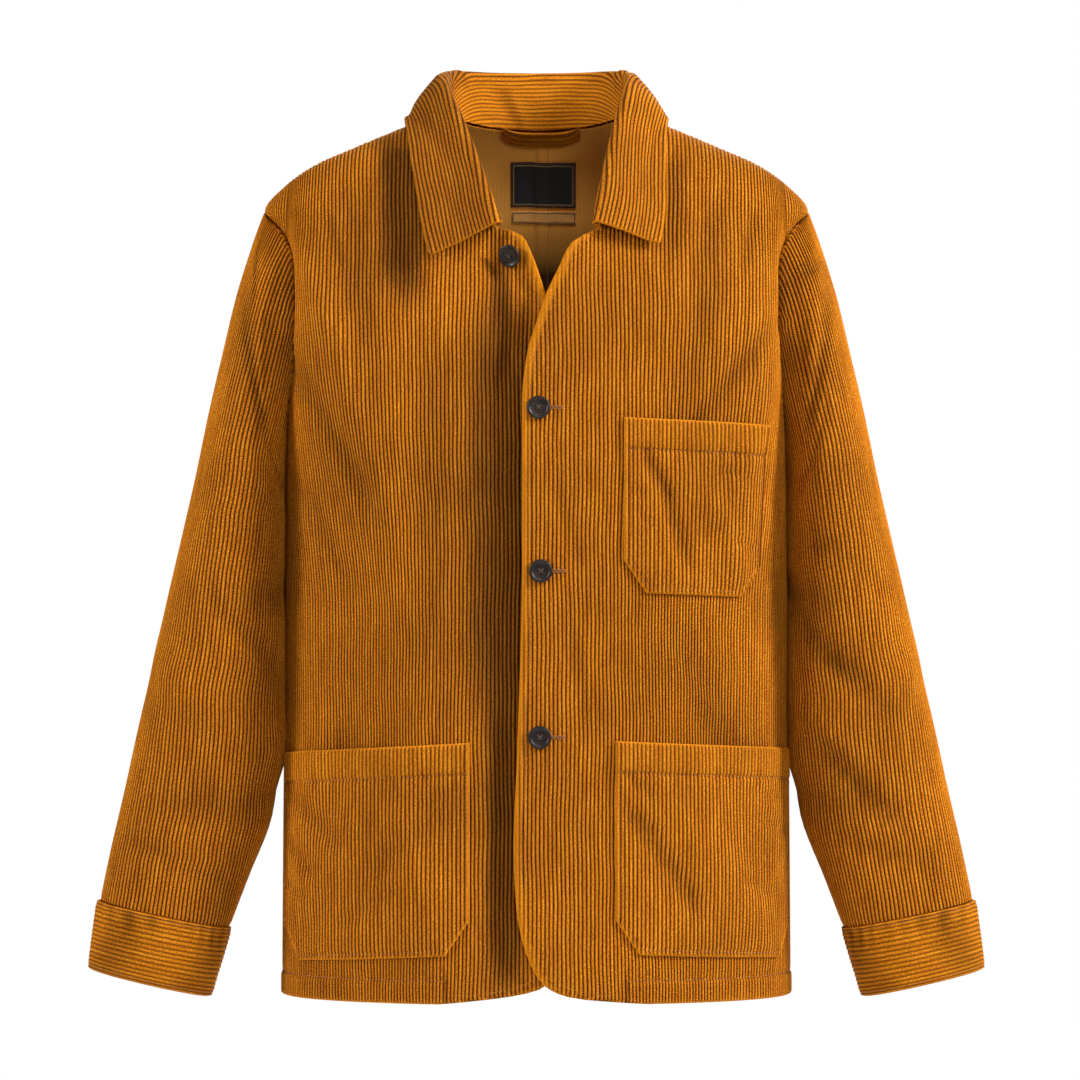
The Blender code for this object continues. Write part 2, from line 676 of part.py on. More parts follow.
def collar_skin(side, t, w):
    """The collar's seen face: up the stand, over the roll and down the leaf as w goes to 1."""
    seam, roll, leaf = collar_row(side, t)
    up, out = collar_frame(side, t)
    radius = COLLAR_FOLD_RADIUS + (COLLAR_END_RADIUS - COLLAR_FOLD_RADIUS) * ease(2 * t - 0.8)
    stand_top = clear_of_body(roll - out * radius - up * radius, side, STAND_CLEARANCE)
    leaf_top = roll + out * radius - up * radius
    if w < STAND_SHARE:
        return seam + (stand_top - seam) * (w / STAND_SHARE)
    if w < ROLL_SHARE:
        share = (w - STAND_SHARE) / (ROLL_SHARE - STAND_SHARE)
        turn = math.pi * share
        point = roll - up * radius - out * radius * math.cos(turn) + up * radius * math.sin(turn)
        lift = STAND_CLEARANCE + (DOUBLED + LEAF_CLEARANCE - STAND_CLEARANCE) * share
        return clear_of_body(point, side, lift)
    share = (w - ROLL_SHARE) / (1 - ROLL_SHARE)
    bulge = LEAF_BULGE * math.sin(math.pi * share)
    point = leaf_top + (leaf - leaf_top) * share + out * bulge
    return clear_of_body(point, side, DOUBLED + LEAF_CLEARANCE)


NECK_AREA_Z = range(-136, 5, 4)  # the levels that the collar may touch
NECK_AREA_LENGTH = 170
NECK_AREA_STEP = 4


@lru_cache(maxsize=None)
def body_points(side):
    """Points of the body's outer face round the neck on one side, and its normals there."""
    panels = [FRONT_LEFT, BACK_LEFT] if side > 0 else [FRONT_RIGHT, BACK_RIGHT]
    points = []
    normals = []
    for panel in panels:
        for z in NECK_AREA_Z:
            start, end = panel.limits(z)
            for length in np.arange(start, min(end, NECK_AREA_LENGTH), NECK_AREA_STEP):
                points.append(panel.skin(float(length), z))
                normals.append(panel.outward(float(length), z))
    return np.array(points), np.array(normals)


def clear_of_body(point, side, clearance):
    """Moves a point out to at least clearance from the body's outer face."""
    points, normals = body_points(side)
    nearest = int(np.argmin(np.sum((points - point) ** 2, axis=1)))
    height = float((point - points[nearest]) @ normals[nearest])
    return point + normals[nearest] * max(0.0, clearance - height)


def make_collar(collection, name):
    """One doubled piece: the stand, the roll and the leaf, from one front end to the other."""

    def place(u, v):
        side = 1 if u >= 0.5 else -1
        t = abs(2 * u - 1)
        w = COLLAR_ROWS[int(round(v * (len(COLLAR_ROWS) - 1)))]
        point = collar_skin(side, t, w)
        up_it = collar_skin(side, t, min(w + 0.01, 1)) - collar_skin(side, t, max(w - 0.01, 0))
        near = min(t + COLLAR_STEP, 1)
        far = max(t - COLLAR_STEP, 0)
        along = (collar_skin(side, near, w) - collar_skin(side, far, w)) * side
        if w < STAND_SHARE:
            return point, point + DOUBLED * collar_frame(side, t)[1]
        return point, point + DOUBLED * unit(np.cross(up_it, along))

    return cloth_wall(collection, name, "corduroy", COLLAR_COLUMNS, len(COLLAR_ROWS) - 1, place)


# ---- Pockets ----


POCKET_MARGIN = 4.0  # a front's column this close to a pocket's side edge is left out


def on_facets(panel, share, z, lift):
    """A point lift millimetres off a front's own facets, between its rows and columns."""
    row = min(max(int(np.searchsorted(FRONT_LEVELS, z)) - 1, 0), len(FRONT_LEVELS) - 2)
    column = min(max(int(np.searchsorted(FRONT_SHARES, share)) - 1, 0), len(FRONT_SHARES) - 2)
    left, right = FRONT_SHARES[column : column + 2]
    low, high = FRONT_LEVELS[row : row + 2]

    def on_row(level):
        start, end = panel.limits(level)
        first = panel.skin(start + (end - start) * left, level, lift)
        second = panel.skin(start + (end - start) * right, level, lift)
        return first + (second - first) * (share - left) / (right - left)

    return on_row(low) + (on_row(high) - on_row(low)) * (z - low) / (high - low)


def make_pocket(collection, name, panel, pocket):
    """A patch pocket, pressed flat on its front, with its two lower corners cut off.

    Its rows and columns are the front's own, moved out, and end at the pocket's outline."""
    bottom = pocket.top - pocket.height
    corner = bottom + pocket.corner
    highest = pocket.top - pocket.tilt - 2
    inner_levels = [z for z in FRONT_LEVELS if corner + 2 < z < highest]
    levels = [bottom, (bottom + corner) / 2, corner] + inner_levels + [pocket.top]
    far = pocket.inner + pocket.width
    limits = [panel.limits(z) for z in levels]
    columns = [0.0]
    for share in FRONT_SHARES:
        places = [start + (end - start) * share for start, end in limits]
        if any(pocket.inner + POCKET_MARGIN < place < far - POCKET_MARGIN for place in places):
            columns.append(share)
    columns.append(1.0)

    def place(u, v):
        row = int(round(v * (len(levels) - 1)))
        share = columns[int(round(u * (len(columns) - 1)))]
        z = levels[row]
        cut = max(0.0, pocket.corner - (z - bottom))
        start, end = panel.limits(z)
        across = min(max(start + (end - start) * share, pocket.inner + cut), far - cut)
        if row in (0, len(levels) - 1):
            z -= pocket.tilt * (across - pocket.inner) / pocket.width
        share = (across - start) / (end - start)
        gap = POCKET_MOUTH_GAP if row == len(levels) - 1 else POCKET_GAP
        return on_facets(panel, share, z, gap + CLOTH), on_facets(panel, share, z, gap)

    return cloth_wall(collection, name, "corduroy", len(columns) - 1, len(levels) - 1, place)


# ---- Hanger loop and labels ----


def back_inside(x, z, lift):
    """A point lift millimetres in front of the back's inner face."""
    side = 1 if x >= 0 else -1
    panel = BACK_LEFT if side > 0 else BACK_RIGHT
    length = length_at_across(abs(x), z, False)
    return panel.skin(length, z, -CLOTH - lift)


def make_label(collection, name, material, edges):
    """A woven label, sewn flat on the back's inner face."""

    def place(u, v):
        x = edges.left + (edges.right - edges.left) * u
        z = edges.bottom + (edges.top - edges.bottom) * v
        return back_inside(x, z, LABEL_GAP + LABEL_THICKNESS), back_inside(x, z, LABEL_GAP)

    return cloth_wall(collection, name, material, 6, 2, place)


def make_hanger_loop(collection, name):
    """A strap that hangs in a shallow bow from the collar seam."""

    def place(u, v):
        x = LOOP_ENDS_X[0] + (LOOP_ENDS_X[1] - LOOP_ENDS_X[0]) * u
        bow = 1 - abs(2 * u - 1) ** 4
        z = LOOP_TOP_Z - LOOP_SAG * bow - LOOP_WIDTH * (1 - v)
        lift = LABEL_GAP + LOOP_BOW * bow
        return back_inside(x, z - LOOP_DROP, lift + CLOTH), back_inside(x, z - LOOP_DROP, lift)

    return cloth_wall(collection, name, "corduroy", 12, 2, place)


# ---- Buttons ----

BUTTON_STEPS = 16
BUTTON_DISH = 1.0  # how deep the middle lies below the rim
BUTTON_SOFT = 0.5  # the rounding of the rim
BUTTON_LEAN_STEP = 5.0  # the cloth under a button is measured this far round it


def make_button_mesh(cutters):
    """A four-hole button with a raised rim, facing +Z, its back at z=0."""
    radius = BUTTON_DIAMETER / 2 * MM
    thick = BUTTON_THICKNESS * MM
    rim = BUTTON_RIM * MM
    dish = BUTTON_DISH * MM
    soft = BUTTON_SOFT * MM
    profile = [
        (0, 0),
        (radius - 2 * soft, 0),
        (radius, 2 * soft),
        (radius, thick - soft),
        (radius - soft, thick),
        (radius - rim + soft, thick),
        (radius - rim, thick - dish),
        (0, thick - dish),
    ]
    bm = bmesh.new()
    verts = [bm.verts.new((x, 0, z)) for x, z in profile]
    edges = [bm.edges.new(pair) for pair in zip(verts, verts[1:])]
    bmesh.ops.spin(
        bm, geom=verts + edges, cent=(0, 0, 0), axis=(0, 0, 1), angle=2 * math.pi, steps=BUTTON_STEPS,
        use_merge=True,
    )
    bmesh.ops.remove_doubles(bm, verts=bm.verts, dist=0.00001)
    bmesh.ops.recalc_face_normals(bm, faces=bm.faces)
    mesh = bpy.data.meshes.new("button_blank")
    bm.to_mesh(mesh)
    bm.free()
    blank = bpy.data.objects.new("button_blank", mesh)
    cutters.objects.link(blank)
    holes = make_button_holes(cutters)
    cut = blank.modifiers.new("holes", "BOOLEAN")
    cut.object = holes
    cut.operation = "DIFFERENCE"
    cut.solver = "EXACT"
    evaluated = blank.evaluated_get(bpy.context.evaluated_depsgraph_get())
    button = bpy.data.meshes.new_from_object(evaluated)
    button.name = "button"
    bpy.data.objects.remove(blank, do_unlink=True)
    button.shade_smooth()
    button.set_sharp_from_angle(angle=math.radians(40))
    return button


def make_button_holes(cutters):
    """The cutter for the four thread holes."""
    bm = bmesh.new()
    for x in (-0.5, 0.5):
        for y in (-0.5, 0.5):
            place = Matrix.Translation(
                (x * BUTTON_HOLE_SPACING * MM, y * BUTTON_HOLE_SPACING * MM, BUTTON_THICKNESS / 2 * MM)
            )
            bmesh.ops.create_cone(
                bm, cap_ends=True, segments=6, radius1=BUTTON_HOLE / 2 * MM, radius2=BUTTON_HOLE / 2 * MM,
                depth=2 * BUTTON_THICKNESS * MM, matrix=place,
            )
    mesh = bpy.data.meshes.new("button_holes")
    bm.to_mesh(mesh)
    bm.free()
    holes = bpy.data.objects.new("button_holes", mesh)
    holes.hide_render = True
    holes.display_type = "WIRE"
    cutters.objects.link(holes)
    return holes


def make_buttons(collection, cutters):
    button = make_button_mesh(cutters)
    """The four buttons, each turned to the cloth under it."""
    for number, (x, z) in enumerate(BUTTONS, start=1):
        panel = FRONT_RIGHT if number == 1 else FRONT_LEFT
        length = length_at_across(x * panel.side, z, True)
        step = BUTTON_LEAN_STEP
        level = panel.skin(length + step, z) - panel.skin(length - step, z)
        rise = panel.skin(length, z + step) - panel.skin(length, z - step)
        normal = unit(np.cross(level, rise)) * panel.side
        lift = TOP_BUTTON_LIFT if number == 1 else BUTTON_LIFT
        place = panel.skin(length, z) + normal * lift
        thing = add_object(collection, f"button_{number}", button, "horn_button")
        thing.rotation_mode = "QUATERNION"
        thing.rotation_quaternion = Vector([float(value) for value in normal]).to_track_quat("Z", "Y")
        thing.location = Vector([float(value) * MM for value in place])


# ---- The jacket ----


def main():
    clear_scene()
    jacket = make_collection("corduroy_jacket")
    cutters = make_collection("cutters")
    make_panel(jacket, "front_right", FRONT_RIGHT, FRONT_LEVELS, FRONT_SHARES)
    make_panel(jacket, "front_left", FRONT_LEFT, FRONT_LEVELS, FRONT_SHARES)
    make_panel(jacket, "back_right", BACK_RIGHT, BACK_LEVELS, BACK_SHARES)
    make_panel(jacket, "back_left", BACK_LEFT, BACK_LEVELS, BACK_SHARES)
    for name, side in (("right", -1), ("left", 1)):
        make_sleeve(jacket, f"sleeve_{name}", side)
        make_cuff(jacket, f"cuff_{name}", side)
    make_collar(jacket, "collar")
    make_pocket(jacket, "pocket_chest", FRONT_LEFT, CHEST_POCKET)
    make_pocket(jacket, "pocket_right", FRONT_RIGHT, RIGHT_POCKET)
    make_pocket(jacket, "pocket_left", FRONT_LEFT, LEFT_POCKET)
    make_hanger_loop(jacket, "hanger_loop")
    make_label(jacket, "neck_label", "label_black", NECK_LABEL)
    make_label(jacket, "size_label", "label_tan", SIZE_LABEL)
    make_buttons(jacket, cutters)
    bpy.context.view_layer.update()


main()
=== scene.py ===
"""Looks of the corduroy work jacket: its cloth with raised wales, seams, stitching and buttons.

Metres, +Z up, the front faces -Y. Sizes are in millimetres and MM turns them into metres. The
curves of the body, sleeves and collar are those of the jacket's solids, worked out more finely.
"""

from collections import namedtuple
from functools import lru_cache
import math

import bmesh
import bpy
import numpy as np
from mathutils import Matrix, Vector


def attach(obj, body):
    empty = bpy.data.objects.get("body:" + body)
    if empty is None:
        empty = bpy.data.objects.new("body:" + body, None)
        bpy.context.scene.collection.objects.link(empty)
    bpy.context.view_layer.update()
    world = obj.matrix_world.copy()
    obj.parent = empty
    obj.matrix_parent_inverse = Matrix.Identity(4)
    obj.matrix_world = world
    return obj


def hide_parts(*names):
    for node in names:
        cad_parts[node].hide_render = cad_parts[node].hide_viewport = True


bl_info = {
    "name": "Corduroy Jacket",
    "version": (1, 0, 0),
    "blender": (4, 5, 0),
    "location": "View3D > Sidebar > Jacket",
    "description": "Builds a corduroy work jacket piece by piece",
    "category": "Object",
}

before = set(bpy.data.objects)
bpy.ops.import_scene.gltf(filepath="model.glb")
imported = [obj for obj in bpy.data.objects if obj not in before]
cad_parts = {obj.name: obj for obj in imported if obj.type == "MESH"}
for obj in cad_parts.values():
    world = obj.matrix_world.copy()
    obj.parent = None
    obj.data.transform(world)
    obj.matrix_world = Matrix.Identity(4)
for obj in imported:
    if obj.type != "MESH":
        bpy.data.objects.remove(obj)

MM = 0.001

# ---- Sizes, in millimetres ----

CLOTH = 1.8
DOUBLED = 2.8
NECK_SIDE_Z = 6.0
NECK_FRONT_Z = -93.0
HEM_Z = -727.0
HEM_STITCH_Z = -708.0
ARMHOLE_MIDDLE_Z = -174.0
ARMHOLE_HALF_HEIGHT = 97.0
ARMHOLE_FRONT_DEPTH = 68.0
ARMHOLE_BACK_DEPTH = 72.0
BACK_SEAM_X = 5.0
UNDERLAP_DROP = 5.0
UNDERLAP_EDGE = 28.0
UNDERLAP_RAMP = 22.0
UNDERLAP_TOP_Z = -118.0
UNDERLAP_RISE = 26.0
SIDE_FADE = 30.0  # a panel's folds die out over this distance from its side, its creases sooner
CREASE_FADE = 12.0


def rows_of(kind, *rows):
    """The rows of a table, each a named tuple."""
    return tuple(kind(*row) for row in rows)


Section = namedtuple("Section", "z half_width front back front_square back_square")
TORSO = rows_of(
    Section,
    (6, 78, 34, 34, 2.0, 2.0), (0, 96, 41, 43, 2.1, 2.1), (-8, 116, 47, 60, 2.1, 2.1),
    (-25, 156, 58, 76, 2.2, 2.2), (-38, 185, 67, 84, 2.3, 2.3), (-54, 207.5, 76, 92, 2.4, 2.4),
    (-77, 226, 87, 101, 2.6, 2.5), (-90, 218, 94, 105, 2.9, 2.7), (-102, 211.5, 99, 109, 3.2, 2.9),
    (-120, 206.5, 105, 112, 3.6, 3.0), (-150, 205, 114, 117, 3.9, 3.1),
    (-180, 205, 120, 119, 4.0, 3.2), (-230, 205.5, 127, 118, 3.6, 3.1),
    (-271, 206.5, 130, 116, 3.1, 2.8), (-300, 207.5, 131, 114, 2.8, 2.6),
    (-400, 209, 131, 106, 2.3, 2.3), (-520, 210, 130, 105, 2.2, 2.2),
    (-650, 211, 130, 109, 2.2, 2.2), (-727, 211.5, 131, 112, 2.2, 2.2),
)

EdgePoint = namedtuple("EdgePoint", "z across")
RIGHT_FRONT_EDGE = rows_of(
    EdgePoint,
    (-727, 78), (-723, 40), (-719, 12), (-713, -6), (-700, -14), (-680, -18), (-640, -19),
    (-240, -19), (-200, -17), (-172, -13), (-150, -8), (-129, -0.5), (-116, 5), (-104, 11),
    (-98, 19), (-94, 31), (-90, 36), (-78, 45), (-60, 55), (-40, 65), (-20, 73), (-5, 76.5),
    (6, 77),
)
LEFT_FRONT_EDGE = rows_of(
    EdgePoint,
    (-727, 90), (-723, 40), (-719, 20), (-710, 5), (-698, -3), (-675, -11.5), (-647, -16.5),
    (-600, -18.5), (-520, -15.5), (-360, -11.5), (-236, -11.5), (-196, -7), (-175, -0.5), (-150, 8),
    (-129, 18), (-109, 28), (-100, 42), (-95, 49), (-90, 52), (-76, 57), (-60, 62), (-40, 68),
    (-20, 74), (-5, 76.5), (6, 77),
)
BACK_NECK_EDGE = rows_of(
    EdgePoint,
    (-727, 0), (-5.4, 0), (-4.6, 22), (-2.8, 42), (0.4, 60), (3.6, 71), (6, 77),
)

# Folds and creases run from (across, z) to (across, z) on their panel. A positive height is a
# ridge, a negative one a trough, over a band of width to each side.
Fold = namedtuple("Fold", "across_1 z_1 across_2 z_2 height width")
RIGHT_FRONT_FOLDS = rows_of(
    Fold,
    (24, -170, 28, -480, -11.0, 52), (25, -480, 27, -720, -10.5, 27), (88, -330, 96, -720, 4.0, 34),
    (185, -130, 110, -360, 4.0, 20), (34, -104, 24, -215, -6.0, 14), (8, -102, -4, -138, 5.0, 12),
    (150, -480, 190, -700, -2.5, 22), (150, -70, 138, -200, -2.5, 22),
)
LEFT_FRONT_FOLDS = rows_of(
    Fold,
    (46, -108, 6, -215, 5.0, 20), (190, -150, 160, -400, 3.5, 18), (150, -140, 100, -300, -2.5, 24),
    (60, -620, 20, -700, 3.0, 26), (120, -430, 190, -640, -2.5, 26),
    (150, -60, 130, -180, -2.0, 20),
)
RIGHT_BACK_FOLDS = rows_of(
    Fold,
    (60, -250, 40, -700, -5.0, 40), (150, -200, 110, -480, 4.0, 34),
    (180, -330, 150, -700, -3.0, 30),
)
LEFT_BACK_FOLDS = rows_of(
    Fold,
    (50, -260, 56, -700, -4.5, 42), (140, -190, 116, -460, 4.5, 32),
    (176, -300, 160, -690, -3.5, 28),
)
# The finer creases of the same panels.
RIGHT_FRONT_CREASES = rows_of(
    Fold,
    (108, -240, 118, -480, 4.0, 36), (205, -196, 128, -330, -2.8, 13),
    (176, -262, 100, -420, 2.4, 16), (196, -300, 150, -390, -1.8, 10),
    (70, -470, 92, -560, -2.6, 15), (120, -560, 88, -640, 1.8, 14), (196, -96, 172, -176, 1.6, 10),
    (172, -84, 160, -128, -2.0, 9), (114, -14, 106, -162, -4.5, 28),
    (110, -600, 150, -716, 1.6, 20),
)
LEFT_FRONT_CREASES = rows_of(
    Fold,
    (200, -210, 150, -330, 2.4, 14), (198, -168, 120, -272, -3.0, 13),
    (96, -430, 150, -500, 1.8, 16), (26, -420, 40, -500, -1.8, 12), (14, -300, 34, -372, -1.6, 10),
    (60, -470, 70, -560, 1.6, 14), (150, -600, 196, -700, 1.8, 18), (60, -300, 44, -390, 1.6, 18),
    (180, -80, 170, -130, -1.9, 9), (114, -30, 108, -128, -2.4, 16),
)
RIGHT_BACK_CREASES = rows_of(
    Fold,
    (186, -150, 92, -250, -2.0, 18), (190, -260, 116, -330, 1.8, 15),
    (100, -520, 150, -600, -1.8, 20), (24, -90, 70, -180, 1.4, 22), (120, -640, 96, -720, 1.6, 20),
)
LEFT_BACK_CREASES = rows_of(
    Fold,
    (184, -160, 104, -240, -1.8, 17), (196, -250, 128, -345, 2.0, 16),
    (90, -470, 140, -570, 1.6, 22), (30, -100, 84, -200, -1.3, 20),
    (140, -620, 110, -716, -1.8, 22),
)

Ring = namedtuple("Ring", "x_out z_out x_in z_in half_depth middle_y")
SLEEVE = rows_of(
    Ring,
    (226.5, -77, 206.8, -271.5, 70, 2), (236, -104, 209.8, -281, 77, 1),
    (249, -146, 211.8, -292, 80, 0), (261, -196, 212.6, -307, 82, -1),
    (272.5, -246, 213.2, -328, 82, -3), (283, -297, 213.4, -354, 80, -5),
    (295, -350, 213.6, -388, 76, -8), (307, -402, 213.8, -428, 70, -11),
    (318.5, -455, 214, -478, 64, -14), (330, -505, 214.4, -528, 58, -17),
    (341, -556, 220, -580, 53, -20), (352, -604, 238.5, -628, 48, -23),
    (361, -647.5, 254.5, -670, 44, -26),
)
CUFF = rows_of(
    Ring,
    (363.5, -648, 253.5, -670.8, 45.5, -26), (367.5, -677, 261.5, -700, 42, -28),
    (371, -704, 269.5, -727.5, 39, -30),
)
SLEEVE_SQUARE = 2.3
ARMHOLE_EASE = 0.06
SLEEVE_REST = 5.6  # how far the hanging sleeves lean on the body
SLEEVE_REST_Z = (-255.0, -560.0)
SleeveFold = namedtuple("SleeveFold", "along angle spread height width slant")
SLEEVE_FOLDS = rows_of(
    SleeveFold,
    (0.16, 75, 70, -3.5, 0.05, 0.10), (0.33, 130, 80, 2.5, 0.05, 0.12),
    (0.52, 150, 85, -3.0, 0.05, -0.08), (0.68, 60, 80, 2.5, 0.05, 0.10),
    (0.83, 110, 90, -2.5, 0.04, -0.06), (0.45, 270, 90, -3.0, 0.06, 0.10),
)
# Finer creases of the sleeves, each sleeve with its own, on the front, the inside and the back.
SLEEVE_CREASES = {
    -1: rows_of(
        SleeveFold,
        (0.08, 52, 34, -3.0, 0.022, 0.12), (0.13, 96, 30, 2.2, 0.025, 0.16),
        (0.25, 140, 60, -2.6, 0.03, 0.18), (0.41, 100, 60, 2.0, 0.035, -0.14),
        (0.60, 120, 70, -2.4, 0.03, 0.16), (0.74, 150, 60, 2.4, 0.025, -0.12),
        (0.91, 80, 80, -2.2, 0.02, 0.06), (0.20, 250, 70, -1.8, 0.035, 0.16),
        (0.58, 230, 80, 1.6, 0.03, -0.14), (0.78, 260, 80, -1.6, 0.028, 0.12),
    ),
    1: rows_of(
        SleeveFold,
        (0.07, 46, 36, -3.0, 0.022, -0.14), (0.12, 84, 34, 2.2, 0.024, -0.16),
        (0.29, 120, 60, -2.4, 0.03, 0.18), (0.48, 96, 60, -2.4, 0.035, -0.20),
        (0.63, 110, 66, -4.6, 0.04, -0.26), (0.72, 128, 60, 3.2, 0.03, -0.18),
        (0.79, 104, 56, -3.4, 0.03, -0.30), (0.89, 100, 70, -3.0, 0.03, -0.16),
        (0.23, 262, 70, -1.7, 0.035, -0.16), (0.52, 240, 80, 1.5, 0.03, 0.14),
        (0.81, 250, 80, -1.6, 0.028, -0.12),
    ),
}

CollarPoint = namedtuple("CollarPoint", "roll_x roll_y roll_z leaf_x leaf_y leaf_z")
RIGHT_COLLAR = rows_of(
    CollarPoint,
    (0, 66, 42, 0, 86, -16), (36, 60, 42, 46, 80, -16), (62, 42, 42, 84, 58, -13),
    (76, 14, 39, 104, 22, -6), (76, -14, 28, 107, -14, -6), (68, -38, 10, 104, -38, -24),
    (58, -60, -14, 101, -56, -46), (48, -79, -42, 96, -72, -76), (39, -96, -68, 92, -87, -102),
    (30, -103.5, -92, 87, -101, -124),
)
LEFT_COLLAR = rows_of(
    CollarPoint,
    (0, 66, 42, 0, 86, -16), (36, 60, 42, 46, 80, -16), (62, 42, 42, 84, 58, -13),
    (77, 14, 39, 104, 22, -4), (77, -14, 30, 108, -14, -2), (72, -38, 12, 106, -38, -20),
    (66, -60, -10, 105, -56, -42), (60, -77, -34, 104, -70, -66), (54, -92, -62, 104, -87, -92),
    (48, -103, -92, 101, -102, -112),
)
COLLAR_FOLD_RADIUS = 4.6
COLLAR_END_RADIUS = 3.5
NECK_END_LIFT = 1.3
STAND_CLEARANCE = 1.4
LEAF_BULGE = 3.0
LEAF_CLEARANCE = 1.2
LEAF_STAND = {-1: 5.0, 1: 3.2}  # how far the leaf's free edge stands off the fronts
COLLAR_CORNER = 6.0
# Folds of the collar, from (along, across) to (along, across): along from the centre back to the
# wearer's left, across from the leaf's free edge.
COLLAR_FOLDS = rows_of(
    Fold,
    (-30, 78, -8, 112, -2.6, 9), (-46, 84, -26, 104, 1.3, 10), (22, 80, 40, 108, 1.2, 12),
    (-96, 50, -92, 74, -1.6, 10), (118, 40, 124, 72, -2.2, 8), (134, 44, 138, 70, 1.4, 8),
    (-190, 10, -182, 52, 1.4, 22), (-150, 12, -140, 50, -1.3, 18), (168, 8, 176, 50, 1.3, 20),
    (205, 12, 214, 48, -1.3, 16), (-20, 10, -10, 52, 1.2, 26), (52, 8, 60, 50, -1.2, 24),
)
NECK_SIDE_SHARE = 0.42
NECK_SIDE_ACROSS = 77.0
NECK_CROWDING = 1.15
STAND_SHARE = 0.25
ROLL_SHARE = 0.5
SEAM_GAP = 0.3

Pocket = namedtuple("Pocket", "inner width top height tilt corner")
POCKETS = {
    "pocket_chest": Pocket(71, 126, -250.5, 142, 5, 26),
    "pocket_right": Pocket(54, 188, -514.5, 172, 11, 28),
    "pocket_left": Pocket(64, 181, -513, 173, 9, 28),
}
POCKET_LIFT = 0.8
POCKET_SLANT = (0.72, 0.92)  # how far in the inner and the outer corner is cut, to how far up
POCKET_STITCH = 4.2  # from a pocket's edge to its row of stitches
POCKET_HEM = 25.0
# Creases of a pocket, from (along, down) to (along, down) as shares of its width and height.
POCKET_CREASES = {
    "pocket_chest": rows_of(
        Fold,
        (0.12, 0.20, 0.30, 0.46, -3.6, 0.08), (0.26, 0.42, 0.42, 0.84, -2.8, 0.09),
        (0.34, 0.24, 0.64, 0.60, 2.0, 0.12), (0.02, 0.40, 0.16, 0.44, -1.8, 0.035),
        (0.05, 0.50, 0.20, 0.62, -1.5, 0.04), (0.72, 0.66, 0.94, 0.73, -1.7, 0.035),
        (0.60, 0.26, 0.86, 0.31, -1.4, 0.035), (0.62, 0.40, 0.82, 0.95, 1.6, 0.12),
    ),
    "pocket_right": rows_of(
        Fold,
        (0.10, 0.30, 0.46, 0.62, -2.2, 0.12), (0.55, 0.35, 0.85, 0.80, 2.0, 0.14),
        (0.90, 0.20, 0.58, 0.46, -2.4, 0.08), (0.93, 0.42, 0.74, 0.60, -2.0, 0.05),
        (0.04, 0.20, 0.24, 0.30, -1.8, 0.04), (0.97, 0.62, 0.76, 0.70, -1.7, 0.035),
        (0.30, 0.66, 0.60, 0.84, -1.5, 0.05),
    ),
    "pocket_left": rows_of(
        Fold,
        (0.07, 0.34, 0.38, 0.78, -3.9, 0.075), (0.28, 0.34, 0.62, 0.92, 1.6, 0.13),
        (0.03, 0.15, 0.18, 0.24, -2.4, 0.032), (0.02, 0.32, 0.22, 0.43, -2.0, 0.035),
        (0.12, 0.56, 0.26, 0.72, -1.6, 0.04), (0.74, 0.33, 0.96, 0.41, -1.7, 0.04),
        (0.60, 0.62, 0.88, 0.71, -1.5, 0.04), (0.66, 0.20, 0.90, 0.26, -1.3, 0.03),
    ),
}

Button = namedtuple("Button", "x z")
BUTTONS = rows_of(Button, (-20.3, -119.5), (1.8, -242.5), (3.6, -375), (2.8, -510))
BUTTON_RADIUS = 9.5
BUTTON_THICKNESS = 3.0
BUTTON_HOLE = 1.9
BUTTON_HOLE_SPACING = 3.6
BUTTON_LIFT = 0.4
TOP_BUTTON_LIFT = 4.6
TOP_BUTTON_FACES = (-0.42, -0.86, -0.3)
BUTTONHOLE_LENGTH = 20.5

LOOP_ENDS_X = (-29.0, 37.0)
LOOP_TOP_Z = 1.2
LOOP_SAG = 2.5
LOOP_WIDTH = 11.5
Label = namedtuple("Label", "left right top bottom")
NECK_LABEL = Label(-22, 33.5, -28.6, -66.1)
SIZE_LABEL = Label(-21.5, 34, -69.4, -79.9)

WALE_PHASES = (0.0, 0.33, 0.67)  # where a wale's columns lie, from one groove to the next

# ---- Fineness of the patterns, in repeats to the metre along the cloth ----

RAGS_PER_METRE = 520.0
TUFTS_PER_METRE = 980.0
STREAKS_PER_METRE = 26.0
FRAME_HALF_WIDTH = 0.42  # of a label's frame line, in millimetres


# ---- Settings that the panel shows ----


def rgb(hex_text):
    """Linear colour of an sRGB hex text."""
    values = [int(hex_text[i : i + 2], 16) / 255 for i in (0, 2, 4)]
    linear = [v / 12.92 if v <= 0.04045 else ((v + 0.055) / 1.055) ** 2.4 for v in values]
    return (*linear, 1.0)


class JacketSettings(bpy.types.PropertyGroup):
    wale_pitch: bpy.props.FloatProperty(
        name="Wale pitch",
        description="Distance from one wale to the next",
        default=0.0034,
        min=0.002,
        max=0.008,
        precision=4,
        unit="LENGTH",
    )
    wale_height: bpy.props.FloatProperty(
        name="Wale height",
        description="Height of the pile over the grooves",
        default=0.00085,
        min=0.0001,
        max=0.0015,
        precision=5,
        unit="LENGTH",
    )
    stitch_length: bpy.props.FloatProperty(
        name="Stitch length",
        description="Length of one machine stitch",
        default=0.0032,
        min=0.0015,
        max=0.006,
        precision=4,
        unit="LENGTH",
    )
    cloth_colour: bpy.props.FloatVectorProperty(
        name="Cloth colour",
        description="Colour of the pile",
        default=rgb("BB6A0A"),
        size=4,
        subtype="COLOR",
    )
    # Partly the bare ground, partly painted shade in the grooves.
    groove_colour: bpy.props.FloatVectorProperty(
        name="Groove colour",
        description="Colour between the wales",
        default=rgb("351602"),
        size=4,
        subtype="COLOR",
    )
    thread_colour: bpy.props.FloatVectorProperty(
        name="Thread colour",
        description="Colour of the sewing thread",
        default=rgb("96580F"),
        size=4,
        subtype="COLOR",
    )


def settings():
    return bpy.context.scene.jacket_settings


